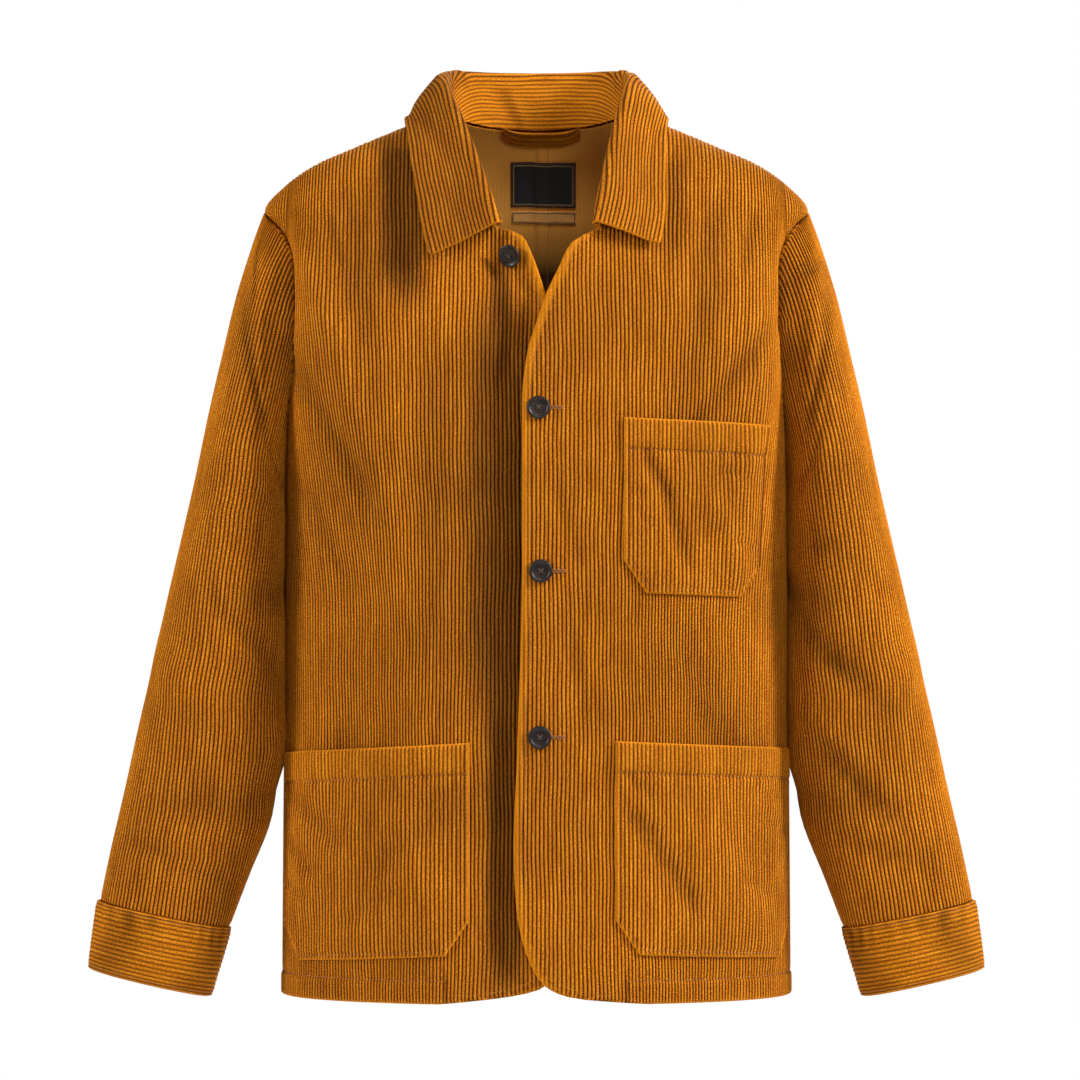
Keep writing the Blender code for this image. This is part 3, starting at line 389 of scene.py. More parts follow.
def millimetres(name):
    """A length among the settings, in millimetres."""
    return round(getattr(settings(), name) / MM, 4)


def pitch():
    return millimetres("wale_pitch")


def pile_height(place):
    """How high the pile stands at a place across the wales."""
    return millimetres("wale_height") * wale_shape(place)


def pile_middle():
    """The pile's middle height, which lies on the surface of the solid."""
    return millimetres("wale_height") * 0.5


# ---- Curves and tables ----


@lru_cache(maxsize=None)
def table_curve(rows, column, key):
    """Keys, values and tangents of a smooth curve through one column of a table."""
    keys = np.array([getattr(row, key) for row in rows], dtype=float)
    values = np.array([getattr(row, column) for row in rows], dtype=float)
    if keys[0] > keys[-1]:
        keys = keys[::-1]
        values = values[::-1]
    slopes = np.diff(values) / np.diff(keys)
    before, after = slopes[:-1], slopes[1:]
    same = before * after > 0
    middle = np.where(same, 2 * before * after / np.where(same, before + after, 1), 0)
    return keys, values, np.concatenate([[slopes[0]], middle, [slopes[-1]]])


def hermite(first, last, start, end, t):
    """A cubic from first to last with tangents start and end."""
    rise = last - first
    bend = 3 * rise - 2 * start - end
    return first + t * start + t * t * bend + t**3 * (start + end - 2 * rise)


def read(rows, column, key, value):
    """Reads a column of a table at key=value, which may be an array."""
    keys, values, tangents = table_curve(rows, column, key)
    value = np.clip(value, keys[0], keys[-1])
    i = np.clip(np.searchsorted(keys, value) - 1, 0, len(keys) - 2)
    step = keys[i + 1] - keys[i]
    t = (value - keys[i]) / step
    return hermite(values[i], values[i + 1], tangents[i] * step, tangents[i + 1] * step, t)


def spread(rows, column, t):
    """Reads a column of evenly placed rows at t from 0 to 1, which may be an array."""
    values = np.array([getattr(row, column) for row in rows], dtype=float)
    place = np.clip(t, 0, 1) * (len(values) - 1)
    i = np.minimum(place.astype(int), len(values) - 2)
    a, b, c, d = (values[np.clip(i + k, 0, len(values) - 1)] for k in (-1, 0, 1, 2))
    return hermite(b, c, (c - a) / 2, (d - b) / 2, place - i)


def ease(t):
    """0 to 1 with level ends."""
    t = np.clip(t, 0.0, 1.0)
    return t * t * (3 - 2 * t)


def unit(vectors):
    return vectors / np.maximum(np.linalg.norm(vectors, axis=-1, keepdims=True), 1e-9)


def line_places(line):
    """How far along a line each of its points lies."""
    return np.concatenate([[0], np.cumsum(np.linalg.norm(np.diff(line, axis=0), axis=1))])


def along(line, places):
    """Points of a line at some arc lengths."""
    lengths = line_places(line)
    return np.stack([np.interp(places, lengths, values) for values in np.transpose(line)], axis=1)


def line_length(line):
    return float(line_places(line)[-1])


def bell(share):
    """1 at no distance, falling to 0 at a share of 1."""
    return 0.5 + 0.5 * np.cos(math.pi * np.minimum(share, 1))


def fold_height(across, z, folds):
    """Sum of the folds over arrays of places on a panel."""
    total = np.zeros(np.broadcast(across, z).shape)
    for fold in folds:
        run = np.array([fold.across_2 - fold.across_1, fold.z_2 - fold.z_1], dtype=float)
        reach = float(run @ run)
        t = ((across - fold.across_1) * run[0] + (z - fold.z_1) * run[1]) / reach
        aside = np.abs(run[0] * (z - fold.z_1) - run[1] * (across - fold.across_1))
        fade = ease((t + 0.15) / 0.35) * ease((1.15 - t) / 0.35)
        total = total + fold.height * fade * bell(aside / math.sqrt(reach) / fold.width)
    return total


def wale_columns(first, last):
    """Places of the columns that carry the wales between two places."""
    numbers = range(math.floor(first / pitch()), math.ceil(last / pitch()) + 1)
    places = [(number + phase) * pitch() for number in numbers for phase in WALE_PHASES]
    inside = [place for place in places if first < place < last]
    return np.array([first] + inside + [last])


def wale_shape(place):
    """Height of the pile across the wales, 0 in a groove and 1 on a wale."""
    turn = (np.asarray(place) / pitch()) % 1.0
    return (1 - np.abs(2 * turn - 1) ** 3.2) ** 0.8


def waver(place, down):
    """How far the wales stray from their straight course, as woven and brushed cloth does."""
    long = 0.55 * np.sin(down / 41.0 + place / 57.0)
    middling = 0.35 * np.sin(down / 17.3 - place / 36.0 + 1.3)
    return long + middling + 0.16 * np.sin(down / 7.9 + place / 11.0)


def near(distance, width):
    """1 at no distance, falling off softly."""
    return np.exp(-((distance / width) ** 2))


def rounding(distance, radius):
    """How far a folded edge drops within its radius."""
    share = 1 - np.clip(distance / radius, 0, 1)
    return radius * (1 - np.sqrt(1 - share * share))


# ---- The torso's surface ----


@lru_cache(maxsize=None)
def section_curve(z, is_front):
    """x, y and the length along one quarter of the section at z, from the centre to the side."""
    half = "front" if is_front else "back"
    depth = float(read(TORSO, half, "z", z))
    square = float(read(TORSO, half + "_square", "z", z))
    width = float(read(TORSO, "half_width", "z", z))
    angle = np.linspace(0, math.pi / 2, 181)
    x = width * np.sin(angle) ** (2 / square)
    y = depth * np.abs(np.cos(angle)) ** (2 / square) * (-1 if is_front else 1)
    length = np.concatenate([[0], np.cumsum(np.hypot(np.diff(x), np.diff(y)))])
    return x, y, length


class Panel:
    """One panel of the torso, with a fine table of its surface that everything on it reads."""

    TABLE_Z = np.arange(HEM_Z - 1, NECK_SIDE_Z + 0.1, 2.0)
    TABLE_SHARE = np.linspace(-0.16, 1.0, 204)
    GRAIN_Z = -150.0
    LEAN = 26.0  # how far the outer wales lean inward on their way down
    LEAN_FALL = 260.0
    STEP = 1.5

    def __init__(self, is_front, side, edge, folds, creases, is_under=False):
        self.is_front = is_front
        self.side = side
        self.edge = edge
        self.folds = folds
        self.creases = creases
        self.is_under = is_under
        rows = [self.row(float(z)) for z in self.TABLE_Z]
        self.points = np.array([row[0] for row in rows])
        self.normals = np.array([row[1] for row in rows])
        curves = [section_curve(round(float(z), 3), is_front) for z in self.TABLE_Z]
        self.ends = np.array([curve[2][-1] for curve in curves])

    def plain(self, length, z):
        """Points of the plain section at z, with no folds in it."""
        x, y, lengths = section_curve(round(z, 3), self.is_front)
        across = np.sign(length) * np.interp(np.abs(length), lengths, x)
        depth = np.interp(np.abs(length), lengths, y)
        return np.stack([across * self.side, depth, np.full(len(across), z)], axis=1)

    def row(self, z):
        """Points and outward directions along the table's row at z."""
        end = section_curve(round(z, 3), self.is_front)[2][-1]
        length = self.TABLE_SHARE * end
        points = self.plain(length, z)
        inner = np.minimum(length, end - self.STEP)
        level = self.plain(inner + self.STEP, z) - self.plain(inner - self.STEP, z)
        above = min(z + self.STEP, NECK_SIDE_Z)
        rise = self.plain(length, above) - self.plain(length, z - self.STEP)
        normals = unit(np.cross(level, rise)) * (self.side if self.is_front else -self.side)
        across = points[:, 0] * self.side
        height = fold_height(across, z, self.folds) * ease((end - length) / SIDE_FADE)
        height = height + fold_height(across, z, self.creases) * ease((end - length) / CREASE_FADE)
        if self.is_under:
            aside = ease((UNDERLAP_EDGE - across) / UNDERLAP_RAMP)
            height = height - UNDERLAP_DROP * aside * ease((UNDERLAP_TOP_Z - z) / UNDERLAP_RISE)
        return points + height[:, None] * normals, normals

    def read_table(self, table, length, z):
        """A table's values at some lengths and heights."""
        shares = self.TABLE_SHARE
        row = (z - self.TABLE_Z[0]) / (self.TABLE_Z[1] - self.TABLE_Z[0])
        row = np.clip(row, 0, len(self.TABLE_Z) - 1.001)
        share = length / np.interp(z, self.TABLE_Z, self.ends)
        column = (share - shares[0]) / (shares[1] - shares[0])
        column = np.clip(column, 0, len(shares) - 1.00001)
        i, j = row.astype(int), column.astype(int)
        a, b = (row - i)[..., None], (column - j)[..., None]
        low = table[i, j] * (1 - b) + table[i, j + 1] * b
        high = table[i + 1, j] * (1 - b) + table[i + 1, j + 1] * b
        return low * (1 - a) + high * a

    def skin(self, length, z, lift=0.0):
        """Points of the outer face, lift millimetres off it, and their outward directions."""
        length, z = np.broadcast_arrays(np.asarray(length, dtype=float), np.asarray(z, dtype=float))
        normals = unit(self.read_table(self.normals, length, z))
        lift = np.asarray(lift, dtype=float)
        return self.read_table(self.points, length, z) + lift[..., None] * normals, normals

    def length_at(self, across, z):
        """The length along the section at z that reaches as far across."""
        x, _, length = section_curve(round(float(z), 3), self.is_front)
        return math.copysign(float(np.interp(abs(across), x, length)), across)

    def limits(self, z):
        """The lengths at which the panel begins and ends at height z."""
        _, y, length = section_curve(round(float(z), 3), self.is_front)
        across = float(read(self.edge, "across", "z", z))
        start = self.length_at(across, z)
        end = float(length[-1])
        level = (z - ARMHOLE_MIDDLE_Z) / ARMHOLE_HALF_HEIGHT
        if abs(level) < 1:
            reach = ARMHOLE_FRONT_DEPTH if self.is_front else ARMHOLE_BACK_DEPTH
            end = float(np.interp(-reach * math.sqrt(1 - level * level), -np.abs(y), length))
        if self.edge is BACK_NECK_EDGE and across < 1:
            start = self.side * BACK_SEAM_X
        return start, end

    def grain(self, columns, z):
        """Lengths at which the wales cross the level z. Low down they keep their distance along
        the cloth, and towards the shoulder they run straight up."""
        x, _, length = section_curve(round(z, 3), self.is_front)
        x_low, _, length_low = section_curve(self.GRAIN_Z, self.is_front)
        over = np.maximum(0.0, np.abs(columns) - length_low[-1])
        straight = np.interp(np.interp(np.abs(columns), length_low, x_low), x, length) + over
        straight = straight * np.sign(columns)
        share = ease((z - self.GRAIN_Z) / 60)
        lean = self.LEAN * ease((self.GRAIN_Z - z) / self.LEAN_FALL) * ease((columns - 40) / 180)
        return (columns - lean) * (1 - share) + straight * share


# ---- Mesh helpers ----

MERGE_DISTANCE = 0.000004  # metres
CLOTH_SHARP_ANGLE = math.radians(72)
BOTH_SIDES = ("corduroy", "wrong_side")


def show(name, mesh, materials):
    """Adds a finished mesh to the scene as a piece that rides on the jacket."""
    thing = bpy.data.objects.new(name, mesh)
    bpy.context.scene.collection.objects.link(thing)
    for material in materials:
        mesh.materials.append(material_named(material))
    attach(thing, "root")
    return thing


def cloth_shell(
    name, outer, inner, wale, run, worn, hollow=0.0, materials=BOTH_SIDES
):
    """A closed wall of cloth over a grid of places.

    outer and inner are grids of points in millimetres. wale is the place across the wales, in
    wales, and run the place along them in metres. worn says where the pile is rubbed flat, and
    the grid after it how far the colour is darkened as painted shade, in troughs, creases and
    painted shadows."""
    outer, inner = np.asarray(outer), np.asarray(inner)
    rows, columns = outer.shape[:2]
    bm = bmesh.new()
    bmesh.ops.create_grid(bm, x_segments=columns - 1, y_segments=rows - 1, size=0.5)
    place = bm.verts.layers.int.new("place")
    side = bm.verts.layers.int.new("inside")
    rubbed = bm.verts.layers.float.new("worn")
    # Painted shade: a layer that darkens the cloth's colour.
    deep = bm.verts.layers.float.new("hollow")
    flat = bm.loops.layers.uv.new("wale")
    out_points = (outer * MM).reshape(-1, 3).tolist()
    in_points = (inner * MM).reshape(-1, 3).tolist()
    uv = np.stack(np.broadcast_arrays(wale, run), axis=-1).reshape(-1, 2).tolist()
    worn = np.broadcast_to(worn, (rows, columns)).reshape(-1).tolist()
    hollow = np.broadcast_to(hollow, (rows, columns)).reshape(-1).tolist()
    for vert in bm.verts:
        column = round((vert.co.x + 0.5) * (columns - 1))
        row = round((vert.co.y + 0.5) * (rows - 1))
        vert[place] = row * columns + column
    for face in bm.faces:
        for loop in face.loops:
            loop[flat].uv = uv[loop.vert[place]]
    for vert in bm.verts:
        vert.co = out_points[vert[place]]
        vert[rubbed] = worn[vert[place]]
        vert[deep] = hollow[vert[place]]
    bmesh.ops.remove_doubles(bm, verts=bm.verts, dist=MERGE_DISTANCE)
    extruded = bmesh.ops.extrude_face_region(bm, geom=bm.faces[:])
    for item in extruded["geom"]:
        if isinstance(item, bmesh.types.BMVert):
            item.co = in_points[item[place]]
            item[side] = 1
    for face in bm.faces:
        if all(vert[side] for vert in face.verts):
            face.material_index = len(materials) - 1
    bmesh.ops.dissolve_degenerate(bm, dist=MERGE_DISTANCE, edges=bm.edges[:])
    bmesh.ops.recalc_face_normals(bm, faces=bm.faces)
    mesh = bpy.data.meshes.new(name)
    bm.to_mesh(mesh)
    bm.free()
    mesh.shade_smooth()
    mesh.set_sharp_from_angle(angle=CLOTH_SHARP_ANGLE)
    return show(name, mesh, materials)


# ---- Materials ----


def node(tree, kind, values=None, output=0, **settings_of_node):
    """Adds a shader node, sets its settings, sets or links its inputs, and returns one output."""
    new = tree.nodes.new("ShaderNode" + kind)
    for key, value in settings_of_node.items():
        setattr(new, key, value)
    for key, value in (values or {}).items():
        if isinstance(value, bpy.types.NodeSocket):
            tree.links.new(value, new.inputs[key])
        else:
            new.inputs[key].default_value = value
    return new.outputs[output]


def new_material(name):
    """An empty material with a Principled shader, and its node tree."""
    material = bpy.data.materials.new(name)
    material.use_nodes = True
    return material, material.node_tree, material.node_tree.nodes["Principled BSDF"]


def colour_stops(ramp, stops):
    """Sets the stops of a colour ramp that has two of them, from (position, colour) pairs."""
    for i, (position, colour) in enumerate(stops):
        stop = ramp.elements[i] if i < 2 else ramp.elements.new(position)
        stop.position = position
        stop.color = colour


def roughen(tree, shader, height, strength, depth):
    """Bumps a shader's surface by a height, depth metres deep."""
    bump = node(tree, "Bump", {"Height": height, "Strength": strength, "Distance": depth})
    tree.links.new(bump, shader.inputs["Normal"])


def corduroy_material():
    """Cotton corduroy, about seven wales to the inch: a pile of cut tufts over a plain ground,
    dyed in the piece and brushed. The tufts scatter the light, so it looks matt and deep: soft
    light ridges, dark grooves, and paler edges where wear has rubbed the pile down. Painted shade
    darkens its troughs, creases and painted shadows, and is part of its grooves' darkness."""
    material, tree, shader = new_material("cotton_corduroy")
    flat = node(tree, "UVMap", output="UV", uv_map="wale")
    place = node(tree, "TexCoord", output="Object")
    worn = node(tree, "Attribute", output="Fac", attribute_name="worn")
    hollow = node(tree, "Attribute", output="Fac", attribute_name="hollow")

    # A groove lies at each whole number of wales. Its edge is ragged with tufts.
    turn = node(tree, "Math", {0: node(tree, "SeparateXYZ", {0: flat})}, operation="FRACT")
    off_middle = node(tree, "Math", {0: turn, 1: 0.5}, operation="SUBTRACT")
    off_crest = node(tree, "Math", {0: off_middle}, operation="ABSOLUTE")
    ragged = node(tree, "Mapping", {"Vector": flat, "Scale": (0.9, RAGS_PER_METRE, 1.0)})
    rags = node(tree, "TexNoise", {"Vector": ragged, "Scale": 1.0, "Detail": 3.0}, "Fac")
    rags = node(tree, "Math", {0: rags, 1: 0.5}, operation="SUBTRACT")
    rags = node(tree, "Math", {0: rags, 1: 0.14}, operation="MULTIPLY")
    edge = node(tree, "Math", {0: off_crest, 1: rags}, operation="ADD")
    limits = {"Value": edge, "From Min": 0.17, "From Max": 0.4}
    groove = node(tree, "MapRange", limits, interpolation_type="SMOOTHSTEP")
    flattened = node(tree, "Math", {0: worn, 1: 0.82}, operation="MULTIPLY")
    kept = node(tree, "Math", {0: 1.0, 1: flattened}, operation="SUBTRACT")
    groove = node(tree, "Math", {0: groove, 1: kept}, operation="MULTIPLY")

    # Tufts are drawn about twice as coarse as real ones, which would be too fine to see.
    tufts = node(tree, "Mapping", {"Vector": flat, "Scale": (2.4, TUFTS_PER_METRE, 1.0)})
    tuft = node(tree, "TexNoise", {"Vector": tufts, "Scale": 1.0, "Detail": 2.4}, "Fac")
    streaks = node(tree, "Mapping", {"Vector": flat, "Scale": (1.0, STREAKS_PER_METRE, 1.0)})
    streak = node(tree, "TexNoise", {"Vector": streaks, "Scale": 1.0, "Detail": 2.0}, "Fac")
    brushed = node(tree, "TexNoise", {"Vector": place, "Scale": 13.0, "Detail": 3.0}, "Fac")
    fuzz = node(tree, "TexNoise", {"Vector": place, "Scale": 900.0, "Detail": 4.0}, "Fac")

    tuft_part = node(tree, "Math", {0: tuft, 1: 0.76}, operation="MULTIPLY")
    streak_part = node(tree, "Math", {0: streak, 1: 0.24}, operation="MULTIPLY")
    uneven = node(tree, "Math", {0: tuft_part, 1: streak_part}, operation="ADD")
    pile = node(tree, "ValToRGB", {"Fac": uneven})
    stops = ((0.34, rgb("824206")), (0.5, settings().cloth_colour), (0.67, rgb("E29A26")))
    colour_stops(pile.node.color_ramp, stops)
    limits = {"Value": brushed, "From Min": 0.3, "From Max": 0.7, "To Min": 0.82, "To Max": 1.14}
    colours = {0: 1.0, 6: pile, 7: node(tree, "MapRange", limits)}
    pile = node(tree, "Mix", colours, 2, data_type="RGBA", blend_type="MULTIPLY")
    share = node(tree, "Math", {0: worn, 1: 0.55}, operation="MULTIPLY")
    rubbed = node(tree, "Mix", {0: share, 6: pile, 7: rgb("CE8010")}, 2, data_type="RGBA")
    # The grooves take the groove colour: partly the bare ground, partly painted shade between the
    # wales.
    share = node(tree, "Math", {0: groove, 1: 0.9}, operation="MULTIPLY")
    colours = {0: share, 6: rubbed, 7: settings().groove_colour}
    colour = node(tree, "Mix", colours, 2, data_type="RGBA")
    # Painted shade: the colour is darkened in troughs and creases, in painted shadows and where
    # the sleeves hang against the body.
    shade_factor = node(tree, "MapRange", {"Value": hollow, "To Min": 1.0, "To Max": 0.42})
    colours = {0: 1.0, 6: colour, 7: shade_factor}
    colour = node(tree, "Mix", colours, 2, data_type="RGBA", blend_type="MULTIPLY")
    tree.links.new(colour, shader.inputs["Base Color"])

    shader.inputs["Roughness"].default_value = 0.92
    shader.inputs["Specular IOR Level"].default_value = 0.1
    shader.inputs["Sheen Weight"].default_value = 0.25
    shader.inputs["Sheen Roughness"].default_value = 0.4
    shader.inputs["Sheen Tint"].default_value = rgb("FFAC42")

    tuft_height = node(tree, "Math", {0: tuft, 1: 0.5}, operation="MULTIPLY")
    relief = node(tree, "Math", {0: tuft_height, 1: groove}, operation="SUBTRACT")
    fuzz_height = node(tree, "Math", {0: fuzz, 1: 0.5}, operation="MULTIPLY")
    height = node(tree, "Math", {0: relief, 1: fuzz_height}, operation="ADD")
    roughen(tree, shader, height, 0.55, 0.35 * MM)
    return material


def wrong_side_material():
    """The wrong side of the same corduroy: a plain-woven cotton ground with no pile. It looks flat
    and pale, with faint stripes where the rows of tufts are bound in. Deep inside the jacket,
    where hardly any light comes, it is drawn darker."""
    material, tree, shader = new_material("corduroy_wrong_side")
    flat = node(tree, "UVMap", output="UV", uv_map="wale")
    place = node(tree, "TexCoord", output="Object")
    angle = {0: node(tree, "SeparateXYZ", {0: flat}), 1: 2 * math.pi}
    angle = node(tree, "Math", angle, operation="MULTIPLY")
    wave = node(tree, "Math", {0: angle}, operation="COSINE")
    stripe = node(tree, "Math", {0: wave, 1: 0.5, 2: 0.5}, operation="MULTIPLY_ADD")
    weave = node(tree, "TexNoise", {"Vector": place, "Scale": 700.0, "Detail": 3.0}, "Fac")
    cloud = node(tree, "TexNoise", {"Vector": place, "Scale": 16.0, "Detail": 2.0}, "Fac")
    colour = rgb("FFB450")
    tints = ((stripe, 0.35, "E09138"), (weave, 0.4, "EA9E3E"), (cloud, 0.35, "FFC062"))
    for pattern, weight, tint in tints:
        share = node(tree, "Math", {0: pattern, 1: weight}, operation="MULTIPLY", use_clamp=True)
        colour = node(tree, "Mix", {0: share, 6: colour, 7: rgb(tint)}, 2, data_type="RGBA")
    limits = {"Value": node(tree, "SeparateXYZ", {0: place}, 2), "To Min": 0.05}
    limits.update({"From Min": -0.124, "From Max": -0.074})
    colours = {0: 1.0, 6: colour, 7: node(tree, "MapRange", limits)}
    colour = node(tree, "Mix", colours, 2, data_type="RGBA", blend_type="MULTIPLY")
    tree.links.new(colour, shader.inputs["Base Color"])
    shader.inputs["Roughness"].default_value = 0.95
    shader.inputs["Specular IOR Level"].default_value = 0.15
    stripe_height = node(tree, "Math", {0: stripe, 1: 0.5}, operation="MULTIPLY")
    height = node(tree, "Math", {0: weave, 1: stripe_height}, operation="ADD")
    roughen(tree, shader, height, 0.4, 0.3 * MM)
    return material


def thread_material(name, dark, light):
    """Spun polyester sewing thread, twisted from plies: its fine light and dark ply keeps a row of
    stitches from looking like a solid line. It has a dull gleam, a little above the cloth's."""
    material, tree, shader = new_material(name)
    place = node(tree, "TexCoord", output="Object")
    ply = node(tree, "TexNoise", {"Vector": place, "Scale": 2400.0, "Detail": 2.0}, "Fac")
    colour = node(tree, "Mix", {0: ply, 6: dark, 7: light}, 2, data_type="RGBA")
    tree.links.new(colour, shader.inputs["Base Color"])
    shader.inputs["Roughness"].default_value = 0.6
    shader.inputs["Sheen Weight"].default_value = 0.2
    roughen(tree, shader, ply, 0.4, 0.1 * MM)
    return material


def horn_material():
    """Cast polyester resin that imitates dark horn, polished in a drum: nearly black with brown
    streaks through it, and a soft broken gleam from the drum's fine scratches."""
    material, tree, shader = new_material("horn_resin")
    place = node(tree, "TexCoord", output="Object")
    stretched = node(tree, "Mapping", {"Vector": place, "Scale": (90.0, 90.0, 420.0)})
    streaks = {"Vector": stretched, "Scale": 1.0, "Detail": 4.0, "Distortion": 0.6}
    colour = node(tree, "ValToRGB", {"Fac": node(tree, "TexNoise", streaks, "Fac")})
    colour_stops(colour.node.color_ramp, ((0.42, rgb("0B0503")), (0.72, rgb("2A150B"))))
    tree.links.new(colour, shader.inputs["Base Color"])
    scratches = node(tree, "TexNoise", {"Vector": place, "Scale": 500.0, "Detail": 3.0}, "Fac")
    rough = node(tree, "MapRange", {"Value": scratches, "To Min": 0.34, "To Max": 0.55})
    tree.links.new(rough, shader.inputs["Roughness"])
    shader.inputs["IOR"].default_value = 1.54
    shader.inputs["Specular IOR Level"].default_value = 0.3
    shader.inputs["Coat Weight"].default_value = 0.05
    shader.inputs["Coat Roughness"].default_value = 0.18
    return material


def label_material(name, grounds, frame_colour, edges, inset):
    """A woven damask label: fine polyester yarn in rows, close and smooth, so that it looks flatter
    and a little shinier than the cotton round it, with a plain frame line woven in."""
    material, tree, shader = new_material(name)
    flat = node(tree, "UVMap", output="UV", uv_map="wale")
    parts = node(tree, "SeparateXYZ", {0: flat}).node.outputs
    margins = []
    for i, size in enumerate((edges.right - edges.left, edges.top - edges.bottom)):
        off_middle = node(tree, "Math", {0: parts[i], 1: 0.5}, operation="SUBTRACT")
        off_middle = node(tree, "Math", {0: off_middle}, operation="ABSOLUTE")
        margin = node(tree, "Math", {0: 0.5, 1: off_middle}, operation="SUBTRACT")
        margins.append(node(tree, "Math", {0: margin, 1: size}, operation="MULTIPLY"))
    nearest = node(tree, "Math", dict(enumerate(margins)), operation="MINIMUM")
    line = node(tree, "Math", {0: nearest, 1: inset, 2: FRAME_HALF_WIDTH}, operation="COMPARE")
    place = node(tree, "TexCoord", output="Object")
    rows = {"Vector": place, "Scale": 900.0, "Distortion": 1.0}
    yarn = node(tree, "TexWave", rows, "Fac", bands_direction="Z")
    thread = node(tree, "TexNoise", {"Vector": place, "Scale": 1500.0, "Detail": 2.0}, "Fac")
    share = node(tree, "Math", {0: thread, 1: 0.6}, operation="MULTIPLY")
    colours = {0: share, 6: rgb(grounds[0]), 7: rgb(grounds[1])}
    cloth = node(tree, "Mix", colours, 2, data_type="RGBA")
    share = node(tree, "Math", {0: line, 1: 0.75}, operation="MULTIPLY")
    colour = node(tree, "Mix", {0: share, 6: cloth, 7: rgb(frame_colour)}, 2, data_type="RGBA")
    tree.links.new(colour, shader.inputs["Base Color"])
    shader.inputs["Roughness"].default_value = 0.62
    shader.inputs["Sheen Weight"].default_value = 0.15
    raised = node(tree, "Math", {0: thread, 1: line}, operation="ADD")
    height = node(tree, "Math", {0: yarn, 1: raised}, operation="ADD")
    roughen(tree, shader, height, 0.5, 0.15 * MM)
    return material


@lru_cache(maxsize=None)
def material_named(name):
    """Each material is made once, when a piece first asks for it."""
    if name == "corduroy":
        return corduroy_material()
    if name == "wrong_side":
        return wrong_side_material()
    if name == "thread":
        return thread_material("sewing_thread", rgb("8A4F12"), settings().thread_colour)
    if name == "button_thread":
        return thread_material("dark_button_thread", rgb("1E120A"), rgb("4A3322"))
    if name == "horn":
        return horn_material()
    if name == "black_label":
        return label_material("black_woven_label", ("0A0A0C", "161619"), "B89C66", NECK_LABEL, 2.6)
    return label_material("tan_woven_label", ("E6A650", "F2BC6C"), "2A150A", SIZE_LABEL, 1.4)


# ---- Fronts and backs ----


@lru_cache(maxsize=None)
def panels():
    """The four panels of the torso, by the name of their solid."""
    front_right = (RIGHT_FRONT_EDGE, RIGHT_FRONT_FOLDS, RIGHT_FRONT_CREASES)
    front_left = (LEFT_FRONT_EDGE, LEFT_FRONT_FOLDS, LEFT_FRONT_CREASES)
    return {
        "front_right": Panel(True, -1, *front_right, is_under=True),
        "front_left": Panel(True, 1, *front_left),
        "back_right": Panel(False, -1, BACK_NECK_EDGE, RIGHT_BACK_FOLDS, RIGHT_BACK_CREASES),
        "back_left": Panel(False, 1, BACK_NECK_EDGE, LEFT_BACK_FOLDS, LEFT_BACK_CREASES),
    }


def panel_levels():
    """Heights of a panel's rows, closer at the hem and round the neck."""
    hem = [HEM_Z, HEM_Z + 0.7, HEM_Z + 1.8, -723, -720.5, -718, -715, -712, -709.6]
    hem += [HEM_STITCH_Z, -706.4, -702]
    body = list(np.arange(-695, -132, 9.6))
    armhole = [-128, -123, -118, -113, -108, -103, -98.5, -94, -90, -86.5, -83.5, -81, -79.2]
    armhole += [-78, -77.2, -76.9, -73.5, -70, -66.5]
    neck = list(np.arange(-63.5, NECK_SIDE_Z - 0.5, 1.9)) + [NECK_SIDE_Z - 0.4]
    return np.array(hem + body + armhole + neck)


EDGE_STITCH = 6.8  # from the closing edge to its row of stitches
EDGE_BAND = 8.0
ROLLED_EDGE = 4.0  # how far the open neck's edges turn outward
FACING_WIDTH = 46.0
FACING_END = 73.4  # where a front's rounded lower corner meets its straight hem
FELL_STITCHES = (2.2, 9.8)  # the two rows beside the centre back seam
FELL_MIDDLE_X = 5.5  # the seam's folded allowance on the wrong side
FELL_HALF_WIDTH = 6.0
DARK_TROUGH = 7.0  # the depth of a trough whose painted shade is darkest
PANEL_WIDTH = 345.0

# Painted shadows on the fronts: beside and below the collar's leaves, and beside the
# overlapping front's edge. Each darkens the colour as much as a trough of its depth would.
PAINTED_SHADOWS = {
    "front_right": rows_of(
        Fold,
        (114, -26, 110, -142, -8.0, 27),
        (82, -190, 84, -470, -3.4, 30),
        (152, -40, 146, -160, -1.7, 44),
    ),
    "front_left": rows_of(Fold, (108, -40, 104, -118, -1.2, 14)),
}


def edge_roll(z, from_edge):
    """How far a front's edge turns outward below the collar, at some height and distance."""
    share = ease((z + 258) / 70) * ease((-94 - z) / 10)
    return share, ROLLED_EDGE * share * ease((17 - from_edge) / 14)


def panel_grid(panel, levels, columns):
    """Length, wale and distances from both edges at each place of a panel's grid."""
    lengths, wales, from_edge, to_side = np.zeros((4, len(levels), len(columns)))
    for i, z in enumerate(levels.tolist()):
        start, end = panel.limits(z)
        grain = panel.grain(columns, z)
        grain = grain + waver(grain, z) * ease((grain - start) / 20) * ease((end - grain) / 20)
        lengths[i] = np.clip(grain, start, end)
        wales[i] = np.clip(columns, *np.interp([start, end], grain, columns))
        from_edge[i] = lengths[i] - start
        to_side[i] = end - lengths[i]
    return lengths, wales, from_edge, to_side


